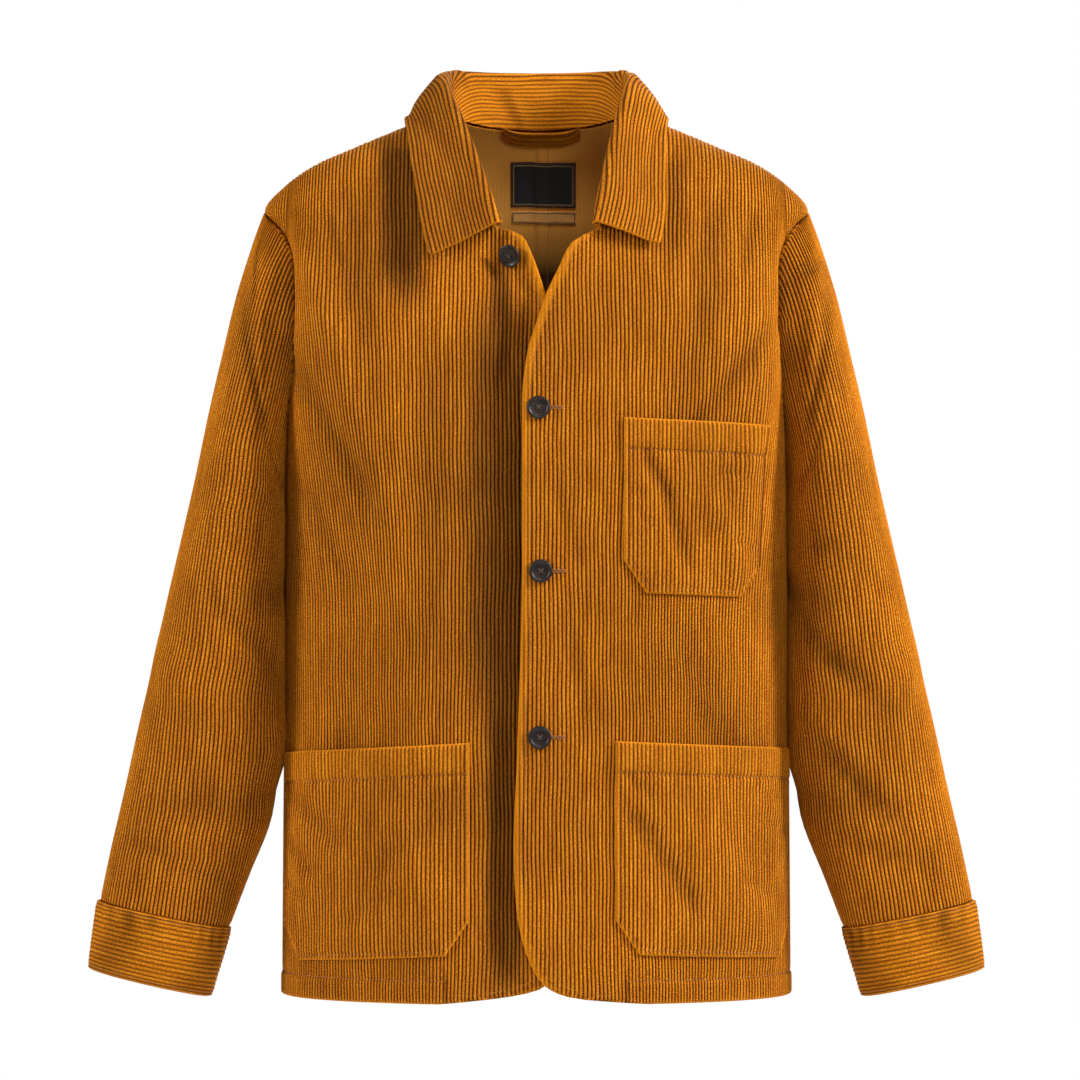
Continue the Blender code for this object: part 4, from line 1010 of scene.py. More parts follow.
def make_torso_panel(name):
    """A front or a back: one layer of corduroy with its turned edges and pressed seams."""
    panel = panels()[name]
    levels = panel_levels()
    columns = wale_columns(-26.0 if panel.is_front else -6.0, PANEL_WIDTH)
    lengths, wales, from_edge, to_side = panel_grid(panel, levels, columns)
    z = np.repeat(levels[:, None], len(columns), axis=1)
    above_hem, off_stitches = z - HEM_Z, z - HEM_STITCH_Z
    across = panel.skin(lengths, z)[0][..., 0] * panel.side
    if panel.is_front:
        band = ease((EDGE_BAND - from_edge) / 2)
        rolled, outward = edge_roll(z, from_edge)
        dent = 1.1 * near(from_edge - EDGE_STITCH, 1.0)
        height = 0.5 * band - rounding(from_edge, 1.9) - dent + outward
        worn = np.maximum(ease((3.4 - from_edge) / 2.2), (0.3 + 0.5 * rolled) * band)
        hem_part = ease((across - 74) / 2.2)
        # Painted shade along the step where the facing ends at the hem.
        step = 0.85 * near(across - FACING_END, 1.2) * ease((2 - off_stitches) / 2)
        doubled = 1.2 * ease((FACING_WIDTH - from_edge) / 1.5)
    else:
        height = -0.9 * near(from_edge, 1.6)
        if panel.side > 0:
            for place in FELL_STITCHES:
                height = height - 0.6 * near(from_edge - place, 0.9)
        worn = 0.5 * near(from_edge, 1.5)
        hem_part = np.ones(z.shape)
        step = 0.0
        off_fell = np.abs(across * panel.side - FELL_MIDDLE_X)
        doubled = 1.3 * ease((FELL_HALF_WIDTH - off_fell) / 0.9)
    height = height + 0.9 * hem_part * ease((1 - off_stitches) / 3)
    height = height - 0.7 * hem_part * near(off_stitches, 1.3)
    at_shoulder = ease((z + 84) / 14)
    in_armhole = ease((z + 276) / 10) * (1 - at_shoulder)
    seam_dent = (0.9 - 0.7 * in_armhole - 0.6 * at_shoulder) * near(to_side, 2.4)
    height = height - rounding(above_hem, 1.6) - seam_dent
    # Painted shade: the troughs of the folds and creases, the painted shadows and the facing's step
    # are drawn darker.
    strokes = [fold for fold in panel.folds + panel.creases if fold.height < 0]
    strokes += PAINTED_SHADOWS.get(name, ())
    hollow = np.clip(-fold_height(across, z, strokes) / DARK_TROUGH + step, 0, 1)
    worn = np.maximum(worn, ease((2.4 - above_hem) / 2.4))
    pile = pile_height(wales) * (1 - 0.85 * worn)
    pile = pile * np.maximum(ease(to_side / 1.6), 0.8 * at_shoulder)
    pile = pile * (1 - 0.35 * hem_part * near(off_stitches, 1.6))
    outer = panel.skin(lengths, z, height + pile - pile_middle())[0]
    turned_up = ease((0.5 - off_stitches) / 1.5)
    wall = CLOTH + np.maximum(doubled, turned_up) - 0.5 * rounding(above_hem, 1.6)
    inner = panel.skin(lengths, z, -wall)[0]
    piece = cloth_shell(name + "_cloth", outer, inner, wales / pitch(), z * MM, worn, hollow)
    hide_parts(name)
    return piece


# ---- Sleeves and cuffs ----


def armhole_points(angle, side):
    """The armhole's seam at some angles: 0 is the shoulder tip, 90 degrees the front."""
    points = []
    for value in np.atleast_1d(angle):
        z = ARMHOLE_MIDDLE_Z + ARMHOLE_HALF_HEIGHT * math.cos(value)
        is_front = math.sin(value) >= 0
        reach = ARMHOLE_FRONT_DEPTH if is_front else ARMHOLE_BACK_DEPTH
        x, y, lengths = section_curve(round(z, 3), is_front)
        length = np.interp(-reach * abs(math.sin(value)), -np.abs(y), lengths)
        points.append([np.interp(length, lengths, x) * side, np.interp(length, lengths, y), z])
    return np.array(points)


def ring_points(rings, t, angle, side):
    """Points of the ring at t at some angles, and the ring's middle."""
    row = {column: float(spread(rings, column, t)) for column in Ring._fields}
    out = np.sign(np.cos(angle)) * np.abs(np.cos(angle)) ** (2 / SLEEVE_SQUARE)
    depth = np.sign(np.sin(angle)) * np.abs(np.sin(angle)) ** (2 / SLEEVE_SQUARE)
    half = np.array([row["x_out"] - row["x_in"], 0, row["z_out"] - row["z_in"]]) / 2
    middle = np.array([row["x_out"] + row["x_in"], 0, row["z_out"] + row["z_in"]]) / 2
    middle[1] = row["middle_y"]
    points = middle + half * out[:, None] - np.array([0, row["half_depth"], 0]) * depth[:, None]
    mirror = np.array([side, 1, 1])
    return points * mirror, middle * mirror


def sleeve_fold_height(t, angle, folds):
    """Sum of the folds at some places along and angles round a sleeve."""
    total = np.zeros(len(angle))
    for fold in folds:
        turn = (np.degrees(angle) - fold.angle + 180) % 360 - 180
        off = np.abs(t - fold.along - fold.slant * turn / fold.spread * 0.5)
        fade = np.cos(math.pi / 2 * np.clip(turn / fold.spread, -1, 1)) ** 2
        total = total + fold.height * fade * bell(off / fold.width)
    return total


class Tube:
    """A table of a sleeve's or a cuff's surface, by place along it and angle round it."""

    ANGLES = np.linspace(-math.pi, math.pi, 241)
    MIDDLE = len(ANGLES) // 2  # the outer line's column

    def __init__(self, side, rings, is_sleeve, count):
        self.side = side
        self.rings = rings
        self.places = np.linspace(0, 1, count)
        armhole = armhole_points(self.ANGLES, side) if is_sleeve else None
        self.points = np.array([self.ring(float(t), armhole) for t in self.places])
        middle = self.points.mean(axis=1, keepdims=True)
        down = np.gradient(self.points, axis=0)
        ends = (self.points[:, -2:-1], self.points, self.points[:, 1:2])
        wrapped = np.concatenate(ends, axis=1)
        normals = unit(np.cross(wrapped[:, 2:] - wrapped[:, :-2], down))
        outward = np.sum(normals * (self.points - middle), axis=2, keepdims=True)
        self.normals = normals * np.where(outward < 0, -1, 1)
        lengths = np.array([line_places(row) for row in self.points])
        self.lengths = lengths - lengths[:, self.MIDDLE][:, None]

    def ring(self, t, armhole):
        """Points of the surface round the place t."""
        points, middle = ring_points(self.rings, t, self.ANGLES, self.side)
        if armhole is None:
            return points
        folds = SLEEVE_FOLDS + SLEEVE_CREASES[self.side]
        height = sleeve_fold_height(t, self.ANGLES, folds)
        points = points + unit(points - middle) * height[:, None]
        low = float(spread(SLEEVE, "z_in", t))
        top, bottom = SLEEVE_REST_Z
        rest = SLEEVE_REST * ease((top - low) / 30) * ease((low - bottom) / 30)
        points[:, 0] -= self.side * rest * np.maximum(0.0, -np.cos(self.ANGLES)) ** 2
        joined = float(ease(t / ARMHOLE_EASE))
        start = armhole + np.array([self.side * SEAM_GAP * 1.2, 0, 0])
        return start * (1 - joined) + points * joined

    def row(self, table, t):
        """A table's row at t, between its neighbours."""
        place = min(max(t, 0.0), 1.0) * (len(self.places) - 1)
        i = min(int(place), len(self.places) - 2)
        share = place - i
        return table[i] * (1 - share) + table[i + 1] * share

    def read_row(self, table, t, length):
        """A table's values at t and at some arc lengths from the outer line."""
        lengths, rows = self.row(self.lengths, t), self.row(table, t)
        return np.stack([np.interp(length, lengths, rows[:, k]) for k in range(3)], axis=1)

    def round_it(self, t, count):
        """Evenly placed lengths from end to end of the row at t."""
        lengths = self.row(self.lengths, t)
        return np.linspace(float(lengths[0]), float(lengths[-1]), count)

    def skin(self, t, length, lift):
        """Points of the outer face at some lengths, lift millimetres off it, with normals."""
        normals = unit(self.read_row(self.normals, t, length))
        return self.read_row(self.points, t, length) + lift[..., None] * normals, normals


@lru_cache(maxsize=None)
def tube(name):
    """The surface of a sleeve or a cuff, by the name of its solid."""
    side = 1 if name.endswith("left") else -1
    is_sleeve = name.startswith("sleeve")
    return Tube(side, SLEEVE if is_sleeve else CUFF, is_sleeve, 241 if is_sleeve else 41)


SLEEVE_LENGTH = 590.0
ALLOWANCE = 5.0  # the sleeve's seam allowance, turned in under the body's edge
ALLOWANCE_DEPTH = 2.4
HEAD_ROWS_END = (-292.0, -430.0)  # between them level rows turn to the cuff's slant
HEAD_SLANT = 0.95  # a level row crosses the sloping wales at an angle
HEAD_LEVEL = -290.0  # from here up the wales run on straight into the sleeve's head
HEAD_STRAIGHT = 0.85
RIGHT_SHADE = (146, 26)  # angle and spread of the dark inner edge of the right sleeve


class SleeveRow:
    """One row of a sleeve, round the outer line from seam to seam. The rows of the head are level,
    so that the wales run side by side with the outer line and end at the armhole's seam."""

    def __init__(self, arm, level):
        self.level = level
        self.middle = middle = arm.MIDDLE
        heights = np.minimum.accumulate(arm.points[..., 2], axis=0)
        places = np.array([np.interp(-level, -line, arm.places) for line in heights.T])
        own = float(places[middle])
        span = HEAD_ROWS_END[0] - HEAD_ROWS_END[1]
        turned_in = float(ease((HEAD_ROWS_END[0] - level) / span))
        self.places = places * (1 - turned_in) + own * turned_in
        self.angles = arm.ANGLES
        seam = arm.points[0, :, 2]
        if level > seam[0]:
            first = float(np.interp(level, seam[: middle + 1], arm.ANGLES[: middle + 1]))
            last = float(np.interp(-level, -seam[middle:], arm.ANGLES[middle:]))
            self.angles = np.clip(self.angles, first, last)
            at_seam = (self.angles == first) | (self.angles == last)
            self.places = np.where(at_seam, 0.0, self.places)
        self.down = own * SLEEVE_LENGTH
        self.points = self.sample(arm, arm.points)
        self.normals = unit(self.sample(arm, arm.normals))
        across = HEAD_SLANT * (1 - turned_in) + turned_in
        lengths = line_places(self.points[:, :2] * (across, 1.0))
        if turned_in > 0:
            lengths = lengths * (1 - turned_in) + line_places(self.points) * turned_in
        self.lengths = lengths - lengths[middle]
        self.low, self.high = float(self.lengths[0]), float(self.lengths[-1])
        self.grain = self.lengths

    def inward(self):
        """How far in from the outer line the row's points lie, front half and back half."""
        far = np.abs(self.points[:, 0])
        halves = (far[self.middle :], far[self.middle :: -1])
        return [np.maximum.accumulate(half[0] - half) for half in halves]

    def run_on_from(self, reference):
        """Numbers the wales so that a lower row's run on side by side with the outer line."""
        share = HEAD_STRAIGHT * float(ease((self.level - reference.level) / 50))
        if share > 0:
            front, back = self.inward()
            under_front, under_back = reference.inward()
            front = np.interp(front, under_front, reference.lengths[self.middle :])
            back = np.interp(back, under_back, reference.lengths[self.middle :: -1])
            straight = np.concatenate([back[:0:-1], front])
            self.grain = np.maximum.accumulate(straight * share + self.lengths * (1 - share))

    def sample(self, arm, table):
        """The table's values at this row's places and angles."""
        place = np.clip(self.places, 0, 1) * (len(arm.places) - 1)
        i = np.minimum(place.astype(int), len(arm.places) - 2)
        turn = (self.angles - arm.ANGLES[0]) / (arm.ANGLES[1] - arm.ANGLES[0])
        j = np.minimum(turn.astype(int), len(arm.ANGLES) - 2)
        down, aside = (place - i)[:, None], (turn - j)[:, None]
        upper = table[i, j] * (1 - aside) + table[i, j + 1] * aside
        lower = table[i + 1, j] * (1 - aside) + table[i + 1, j + 1] * aside
        return upper * (1 - down) + lower * down

    def read(self, values, length):
        """The row's own values at some lengths from the outer line."""
        if values.ndim == 1:
            return np.interp(length, self.lengths, values)
        return np.stack([np.interp(length, self.lengths, line) for line in values.T], axis=1)

    def skin(self, length, lift):
        normals = unit(self.read(self.normals, length))
        return self.read(self.points, length) + lift[:, None] * normals

    def shade(self, side, from_armhole, angles):
        """Darkness where the sleeve hangs against the body, by place along and round it."""
        front = ease(np.sin(angles) * 2)
        beside = 0.75 * near(from_armhole / 20, 1.0) * front * ease((-96 - self.level) / 40)
        beside = beside * ease((self.level + 250) / 60)
        if side > 0:
            return beside
        off = (np.degrees(angles) - RIGHT_SHADE[0]) / RIGHT_SHADE[1]
        return beside + 0.32 * near(off, 1.0) * ease((-240 - self.level) / 60)


def sleeve_levels(arm):
    """Heights of the rows on the outer line: close together round the armhole."""
    heights = np.minimum.accumulate(arm.points[:, arm.MIDDLE, 2])
    top, end = float(heights[0]), float(heights[-1])
    head = top - np.array([0.5, 1.5, 3.0, 5.0, 7.5, 10.5, 14.0, 18.0])
    head = np.concatenate([head, np.arange(head[-1] - 4.6, -300.0, -4.6)])
    return np.concatenate([head, np.linspace(-304.0, end + 9.0, 33), [end + 4.0, end + 0.01]])


def make_sleeve(name):
    """A one-piece sleeve: the wales run down it, and end at the seam under the arm."""
    arm = tube(name)
    rows = [SleeveRow(arm, level) for level in sleeve_levels(arm).tolist()]
    reference = SleeveRow(arm, HEAD_LEVEL)
    for row in rows:
        row.run_on_from(reference)
    widest = max(row.high for row in rows) + 2
    columns = wale_columns(-widest, widest)
    troughs = [fold for fold in SLEEVE_FOLDS + SLEEVE_CREASES[arm.side] if fold.height < 0]
    outer, inner, wales, worn, hollow = [], [], [], [], []
    for row in rows:
        stray = waver(columns, row.down) * ease(row.down / 40)
        strayed = columns + stray
        places = np.interp(strayed, row.grain, row.lengths)
        wale = np.clip(strayed, row.grain[0], row.grain[-1]) - stray
        from_armhole = row.read(row.places, places) * SLEEVE_LENGTH
        edge = np.minimum(np.minimum(places - row.low, row.high - places), from_armhole)
        cuff_seam = 0.6 * float(near(SLEEVE_LENGTH - row.down, 2.0))
        lift = pile_height(wale) * ease(edge / 2.2) - pile_middle()
        lift = lift - cuff_seam - 1.1 * near(edge, 2.4)
        beyond = (strayed < row.grain[0]) | (strayed > row.grain[-1])
        cut = (from_armhole < 0.05) & beyond
        tucked = cut[:, None] * np.array([arm.side * ALLOWANCE, 0, 0])
        sunk = cut * ALLOWANCE_DEPTH
        outer.append(row.skin(places, np.maximum(lift, -1.5) - sunk) - tucked)
        inner.append(row.skin(places, -CLOTH - 0.3 - sunk) - tucked)
        wales.append(wale)
        worn.append(0.5 * near(edge, 1.4))
        # Painted shade in the sleeve's troughs, and where it hangs against the body.
        angles = row.read(row.angles, places)
        heights = sleeve_fold_height(row.read(row.places, places), angles, troughs)
        shade = row.shade(arm.side, from_armhole, angles)
        hollow.append(np.clip(-heights / DARK_TROUGH + shade, 0, 1))
    down = np.array([[row.down * MM] for row in rows])
    wales = np.array(wales) / pitch()
    worn, hollow = np.array(worn), np.array(hollow)
    piece = cloth_shell(name + "_cloth", outer, inner, wales, down, worn, hollow)
    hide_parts(name)
    return piece


CUFF_LENGTH = 58.0
CUFF_GIRTH = 0.28
CUFF_STITCHES = (4.0, CUFF_LENGTH - 5.0)
CUFF_RUBBED = 0.34


def cuff_wave(lengths, place):
    """The cuff's puckers: gathered along its upper seam, slack further down."""
    gathers = 0.75 * np.sin(lengths / 2.4 + 2.2 * np.sin(lengths / 19.0)) * near(place - 5, 13)
    slack = 0.9 * np.sin(lengths / 13.0 + place / 24.0) * ease(place / 10)
    return (gathers + slack) * ease((CUFF_LENGTH - place) / 9 + 0.25)


def make_cuff(name):
    """A doubled band. Its wales run round the wrist."""
    band = tube(name)
    rows = wale_columns(0.0, CUFF_LENGTH)
    rows = np.unique(np.concatenate([[0, 0.5, 1.2], rows, [CUFF_LENGTH - 1.2, CUFF_LENGTH - 0.5]]))
    outer, inner, worn, hollow = [], [], [], []
    count = 129
    for place in rows:
        t = float(place / CUFF_LENGTH)
        lengths = band.round_it(t, count)
        ends = min(place, CUFF_LENGTH - place)
        rubbed = max(float(ease((2.2 - ends) / 2)), CUFF_RUBBED)
        dent = sum(0.5 * near(place - stitches, 0.9) for stitches in CUFF_STITCHES)
        wave = cuff_wave(lengths, place)
        drop = rounding(ends, 1.8)
        lift = pile_height(place) * (1 - 0.8 * rubbed) - pile_middle() - dent - drop + wave
        outer.append(band.skin(t, lengths, lift)[0])
        inner.append(band.skin(t, lengths, 0.8 * drop - DOUBLED + wave)[0])
        worn.append([rubbed])
        # Painted shade: darker in the troughs of the puckers, and a little darker over the whole
        # cuff.
        hollow.append(np.clip(0.12 - wave / 2.0, 0, 0.85))
    wales = rows[:, None] / pitch()
    around = np.linspace(0, CUFF_GIRTH, count)
    piece = cloth_shell(
        name + "_cloth", outer, inner, wales, around, worn, hollow, materials=("corduroy",)
    )
    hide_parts(name)
    return piece


# ---- Collar ----


def neck_point(side, t, lift):
    """The neckline at t, 0 at the centre back and 1 at the front end, lifted off the panels."""
    name = "left" if side > 0 else "right"
    if t < NECK_SIDE_SHARE:
        across = NECK_SIDE_ACROSS * math.sin(math.pi / 2 * t / NECK_SIDE_SHARE)
        curve = BACK_NECK_EDGE[1:]
        heights = [point.z for point in curve]
        z = float(np.interp(across, [point.across for point in curve], heights))
        panel = panels()["back_" + name]
    else:
        down = ((t - NECK_SIDE_SHARE) / (1 - NECK_SIDE_SHARE)) ** NECK_CROWDING
        z = NECK_SIDE_Z + (NECK_FRONT_Z - NECK_SIDE_Z) * down
        panel = panels()["front_" + name]
        across = float(read(panel.edge, "across", "z", z))
    z = min(z, NECK_SIDE_Z - 0.5)
    return panel.skin(panel.length_at(across, z), z, lift)[0]


def collar_row(side, t):
    """The collar's seam, fold and free edge at t."""
    rows = LEFT_COLLAR if side > 0 else RIGHT_COLLAR
    mirror = np.array([side, 1, 1])
    roll = mirror * [float(spread(rows, "roll_" + axis, t)) for axis in "xyz"]
    leaf = mirror * [float(spread(rows, "leaf_" + axis, t)) for axis in "xyz"]
    seam = neck_point(side, t, SEAM_GAP + NECK_END_LIFT * float(ease(2.5 * t - 1.2)))
    return seam, roll, leaf


@lru_cache(maxsize=None)
def body_points(side):
    """Points of the body's outer face round the neck on one side, and its normals there."""
    name = "left" if side > 0 else "right"
    points, normals = [], []
    for panel in (panels()["front_" + name], panels()["back_" + name]):
        for z in range(-136, 5, 4):
            start, end = panel.limits(z)
            place, normal = panel.skin(np.arange(start, min(end, 170), 4), float(z))
            points.append(place)
            normals.append(normal)
    return np.concatenate(points), np.concatenate(normals)


def clear_of_body(point, side, clearance):
    """Lifts a point off the body where it lies closer than the clearance."""
    points, normals = body_points(side)
    nearest = int(np.argmin(np.sum((points - point) ** 2, axis=1)))
    height = float((point - points[nearest]) @ normals[nearest])
    return point + normals[nearest] * max(0.0, clearance - height)


def collar_path(side, t, places):
    """The collar's seen face at t: up the stand, over the roll and down the leaf."""
    seam, roll, leaf = collar_row(side, t)
    before = collar_row(side, max(t - 0.02, 0))[1]
    after = collar_row(side, min(t + 0.02, 1))[1]
    up = unit(roll - (seam + leaf) / 2)
    out = unit(np.cross(up, after - before)) * side
    thinner = (COLLAR_END_RADIUS - COLLAR_FOLD_RADIUS) * float(ease(2 * t - 0.8))
    radius = COLLAR_FOLD_RADIUS + thinner
    stand_top = clear_of_body(roll - out * radius - up * radius, side, STAND_CLEARANCE)
    leaf_top = roll + out * radius - up * radius
    points = []
    for w in places:
        if w < STAND_SHARE:
            points.append(seam + (stand_top - seam) * (w / STAND_SHARE))
        elif w < ROLL_SHARE:
            share = (w - STAND_SHARE) / (ROLL_SHARE - STAND_SHARE)
            turn = math.pi * share
            over = up * (math.sin(turn) - 1) - out * math.cos(turn)
            lift = STAND_CLEARANCE + (DOUBLED + LEAF_CLEARANCE - STAND_CLEARANCE) * share
            points.append(clear_of_body(roll + over * radius, side, lift))
        else:
            share = (w - ROLL_SHARE) / (1 - ROLL_SHARE)
            bulge = out * LEAF_BULGE * math.sin(math.pi * share)
            proud = LEAF_STAND[side] * share * float(ease((t - 0.3) / 0.3))
            point = leaf_top + (leaf - leaf_top) * share + bulge
            points.append(clear_of_body(point, side, DOUBLED + LEAF_CLEARANCE + proud))
    return np.array(points)


def smooth_rows(table, passes):
    """Evens out a table of points along its first axis."""
    for _ in range(passes):
        table[1:-1] = table[1:-1] * 0.5 + (table[:-2] + table[2:]) * 0.25


LEAF_STITCH = 3.4  # from the collar's free edges to the row of stitches
COLLAR_DARK_TROUGH = 5.0


def collar_lines():
    """Lines across the collar from end to end, each from the leaf's free edge to the neck seam,
    and how far along its line each point lies."""
    stand, roll = np.linspace(0, 0.24, 8), np.linspace(0.26, 0.49, 14)
    leaf = np.linspace(0.52, 1, 16)
    places = np.concatenate([stand, roll, leaf])
    shares = np.concatenate([-np.linspace(1, 0.02, 44), np.linspace(0, 1, 45)])
    paths = [collar_path(-1 if share < 0 else 1, abs(share), places) for share in shares]
    table = np.array(paths)
    smooth_rows(table, 2)
    smooth_rows(table.swapaxes(0, 1), 1)
    table = table[:, ::-1]
    widths = np.array([line_places(line) for line in table])
    ends = np.array([0.0015, 0.0035, 0.0055, 0.008, 0.011])
    dense = np.unique(np.concatenate([np.linspace(0, 1, 145), ends, 1 - ends]))
    dense = np.interp(dense, np.linspace(0, 1, len(shares)), np.arange(len(shares)))
    low = np.minimum(dense.astype(int), len(shares) - 2)
    part = (dense - low)[:, None]
    lines = table[low] * (1 - part[..., None]) + table[low + 1] * part[..., None]
    return lines, widths[low] * (1 - part) + widths[low + 1] * part, float(widths[:, -1].max())


def make_collar(name):
    """One doubled piece. Its wales run along it, parallel to the leaf's free edge."""
    lines, spans, full = collar_lines()
    columns = np.unique(np.concatenate([[0.4, 0.9], wale_columns(0.0, full)]))
    run = line_places(lines[:, 0])
    to_end = np.clip(np.minimum(run, run[-1] - run), 0, COLLAR_CORNER)
    corner = COLLAR_CORNER - np.sqrt(COLLAR_CORNER**2 - (COLLAR_CORNER - to_end) ** 2)
    wales = np.clip(columns, corner[:, None], spans[:, -1:])
    grid = np.zeros((*wales.shape, 3))
    for i, line in enumerate(lines):
        slack = ease(columns / 9) * ease((spans[i, -1] - columns) / 9)
        stray = 1.3 * waver(columns * 2.0, run[i]) * slack
        uneven = 0.35 * math.sin(run[i] / 9.0) + 0.25 * math.sin(run[i] / 4.1 + 1)
        spots = columns + stray + uneven * ease(1 - columns / 6)
        spots = np.clip(spots, corner[i], spans[i, -1])
        grid[i] = np.stack([np.interp(spots, spans[i], line[:, k]) for k in range(3)], axis=1)
    smooth_rows(grid[4:-4], 2)
    centred = (run - run[-1] / 2)[:, None]
    run = line_places(grid[:, 20])
    crosswise = np.zeros_like(grid)
    crosswise[:, 3:-3] = grid[:, 6:] - grid[:, :-6]
    crosswise[:, :3] = grid[:, 6:7] - grid[:, 0:1]
    crosswise[:, -3:] = grid[:, -1:] - grid[:, -7:-6]
    for i, used in enumerate(np.searchsorted(columns, spans[:, -1]).tolist()):
        last = max(used - 7, 0)
        crosswise[i, last:] = grid[i, min(used, len(columns) - 1)] - grid[i, last]
    normals = unit(np.cross(np.gradient(grid, axis=0), crosswise))
    free = np.minimum(wales - corner[:, None], np.minimum(run, run[-1] - run)[:, None])
    drop = rounding(free, 1.8)
    worn = np.maximum(ease((2.0 - free) / 2), 0.35 * ease((wales - 62) / 14))
    folds = fold_height(centred, wales, COLLAR_FOLDS) * ease(free / 6)
    lift = pile_height(wales) * (1 - 0.8 * worn) - pile_middle()
    lift = lift - 0.9 * near(free - LEAF_STITCH, 0.9) - drop + folds
    seen = grid + normals * lift[..., None]
    hidden = grid - normals * (DOUBLED - 0.8 * drop - 0.6 * folds)[..., None]
    # Painted shade in the collar's troughs, and over the leaf on the wearer's right, which turns
    # away from the key light.
    troughs = [fold for fold in COLLAR_FOLDS if fold.height < 0]
    right_leaf_shade = 0.5 * ease((-60 - centred) / 50) * ease((66 - wales) / 10)
    hollow = -fold_height(centred, wales, troughs) / COLLAR_DARK_TROUGH + right_leaf_shade
    piece = cloth_shell(
        "collar_cloth",
        seen,
        hidden,
        wales / pitch(),
        run[:, None] * MM,
        worn,
        np.clip(hollow, 0, 1),
        materials=("corduroy",),
    )
    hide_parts(name)
    return grid, normals, wales, run


# ---- Pockets ----

POCKET_FADE = 14.0  # a pocket's creases die out over this distance from its edges
POCKET_DARK_TROUGH = 8.0


def pocket_front(name):
    """The name of the front that a pocket is sewn to."""
    return "front_right" if name == "pocket_right" else "front_left"


def pocket_skin(name, length, down, lift):
    """Points lift millimetres off the front below a pocket, and their outward directions."""
    pocket = POCKETS[name]
    tilt = pocket.tilt * (length - pocket.inner) / pocket.width
    return panels()[pocket_front(name)].skin(length, pocket.top - tilt - down, lift)


def pocket_folds(name, length, down, creases):
    """Sum of some of a pocket's creases."""
    pocket = POCKETS[name]
    return fold_height((length - pocket.inner) / pocket.width, down / pocket.height, creases)


def pocket_swell(name, length, down, from_edge):
    """How far a pocket's cloth stands off its front, as it swells, gapes and creases."""
    pocket = POCKETS[name]
    across = np.sin(math.pi * np.clip((length - pocket.inner) / pocket.width, 0, 1))
    full = across * np.sin(math.pi * np.clip(down / pocket.height, 0, 1)) ** 0.6
    folds = pocket_folds(name, length, down, POCKET_CREASES[name]) * ease(from_edge / POCKET_FADE)
    return POCKET_LIFT + 0.7 + 1.8 * full + 1.6 * near(down, 26.0) * across + folds


def make_pocket(name):
    """A patch pocket with a turned hem at its mouth and its lower corners cut off."""
    pocket = POCKETS[name]
    cut_from, outer_side = pocket.height - pocket.corner, pocket.inner + pocket.width
    rows = [0, 0.7, 1.6, 4, 10, 17, 23, 24.2, POCKET_HEM, 25.8, 28]
    rows += list(np.linspace(34, cut_from, 17))
    rows += list(np.linspace(cut_from, pocket.height, 8)[1:-1])
    rows += [pocket.height - 1.6, pocket.height - 0.7, pocket.height]
    columns = wale_columns(pocket.inner, outer_side)
    columns = np.unique(np.append(columns, [pocket.inner + 0.6, outer_side - 0.6]))
    down = np.repeat(np.array(rows)[:, None], len(columns), axis=1)
    cut = np.maximum(0.0, down - cut_from)
    first = pocket.inner + POCKET_SLANT[0] * cut
    last = outer_side - POCKET_SLANT[1] * cut
    lengths = np.clip(columns, first, last)
    to_side = np.minimum(lengths - first, last - lengths)
    to_side = np.where(cut > 0, to_side * 0.75, to_side)
    sewn = np.minimum(to_side, pocket.height - down)
    free = np.minimum(sewn, down)
    off_hem = down - POCKET_HEM
    hem = ease((1.2 - off_hem) / 2)
    dent = 1.2 * near(sewn - POCKET_STITCH, 1.0) * ease(down / 3)
    dent = dent + 1.5 * near(off_hem, 1.2) * ease(sewn / 3)
    pucker = 0.35 * np.sin(lengths / 1.9 + 2 * np.sin(lengths / 11)) * near(off_hem, 6)
    rubbed = ease((2.2 - free) / 2)
    swell = pocket_swell(name, lengths, down, free)
    lift = swell + CLOTH + 0.6 * hem + pile_height(lengths) * (1 - 0.8 * rubbed) - pile_middle()
    lift = lift - dent - rounding(free, 1.6) + pucker
    outer = pocket_skin(name, lengths, down, np.maximum(lift, 0.9))[0]
    under = np.minimum(swell - 0.3 * ease(8 - sewn), lift - 0.5)
    inner = pocket_skin(name, lengths, down, np.maximum(under, 0.45))[0]
    # Painted shade in the pocket's creases.
    troughs = [crease for crease in POCKET_CREASES[name] if crease.height < 0]
    hollow = -pocket_folds(name, lengths, down, troughs) * ease(free / POCKET_FADE)
    hollow = np.clip(hollow / POCKET_DARK_TROUGH, 0, 1)
    worn = np.maximum(rubbed, 0.2 * hem)
    wales = lengths / pitch()
    piece = cloth_shell(name + "_cloth", outer, inner, wales, -down * MM, worn, hollow)
    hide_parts(name)
    return piece


# ---- Hanger loop and labels ----

LOOP_LENGTH = 0.07
LOOP_CORE = 0.55  # the strap's inner wall, as a share of its outer one
# How far the loop's pile is drawn rubbed flat and paler: partly wear, partly painted light on a
# loop that hangs in the collar's shade.
LOOP_WEAR_AND_PAINTED_LIGHT = 0.55


def back_inside(x, z, lift):
    """Points lift millimetres in front of the back's inner face."""
    places = np.broadcast_arrays(x, z, lift)
    points = []
    for one_x, one_z, one_lift in zip(*(values.ravel().tolist() for values in places)):
        panel = panels()["back_left" if one_x >= 0 else "back_right"]
        length = panel.length_at(abs(one_x), one_z)
        points.append(panel.skin(length, one_z, -CLOTH - one_lift)[0])
    return np.array(points).reshape(*places[0].shape, 3)


def label_lift(x):
    """How far a label stands off the back: it bends over the centre back seam."""
    return 1.35 + 1.25 * ease((FELL_HALF_WIDTH + 3 - np.abs(x - FELL_MIDDLE_X)) / 3.5)


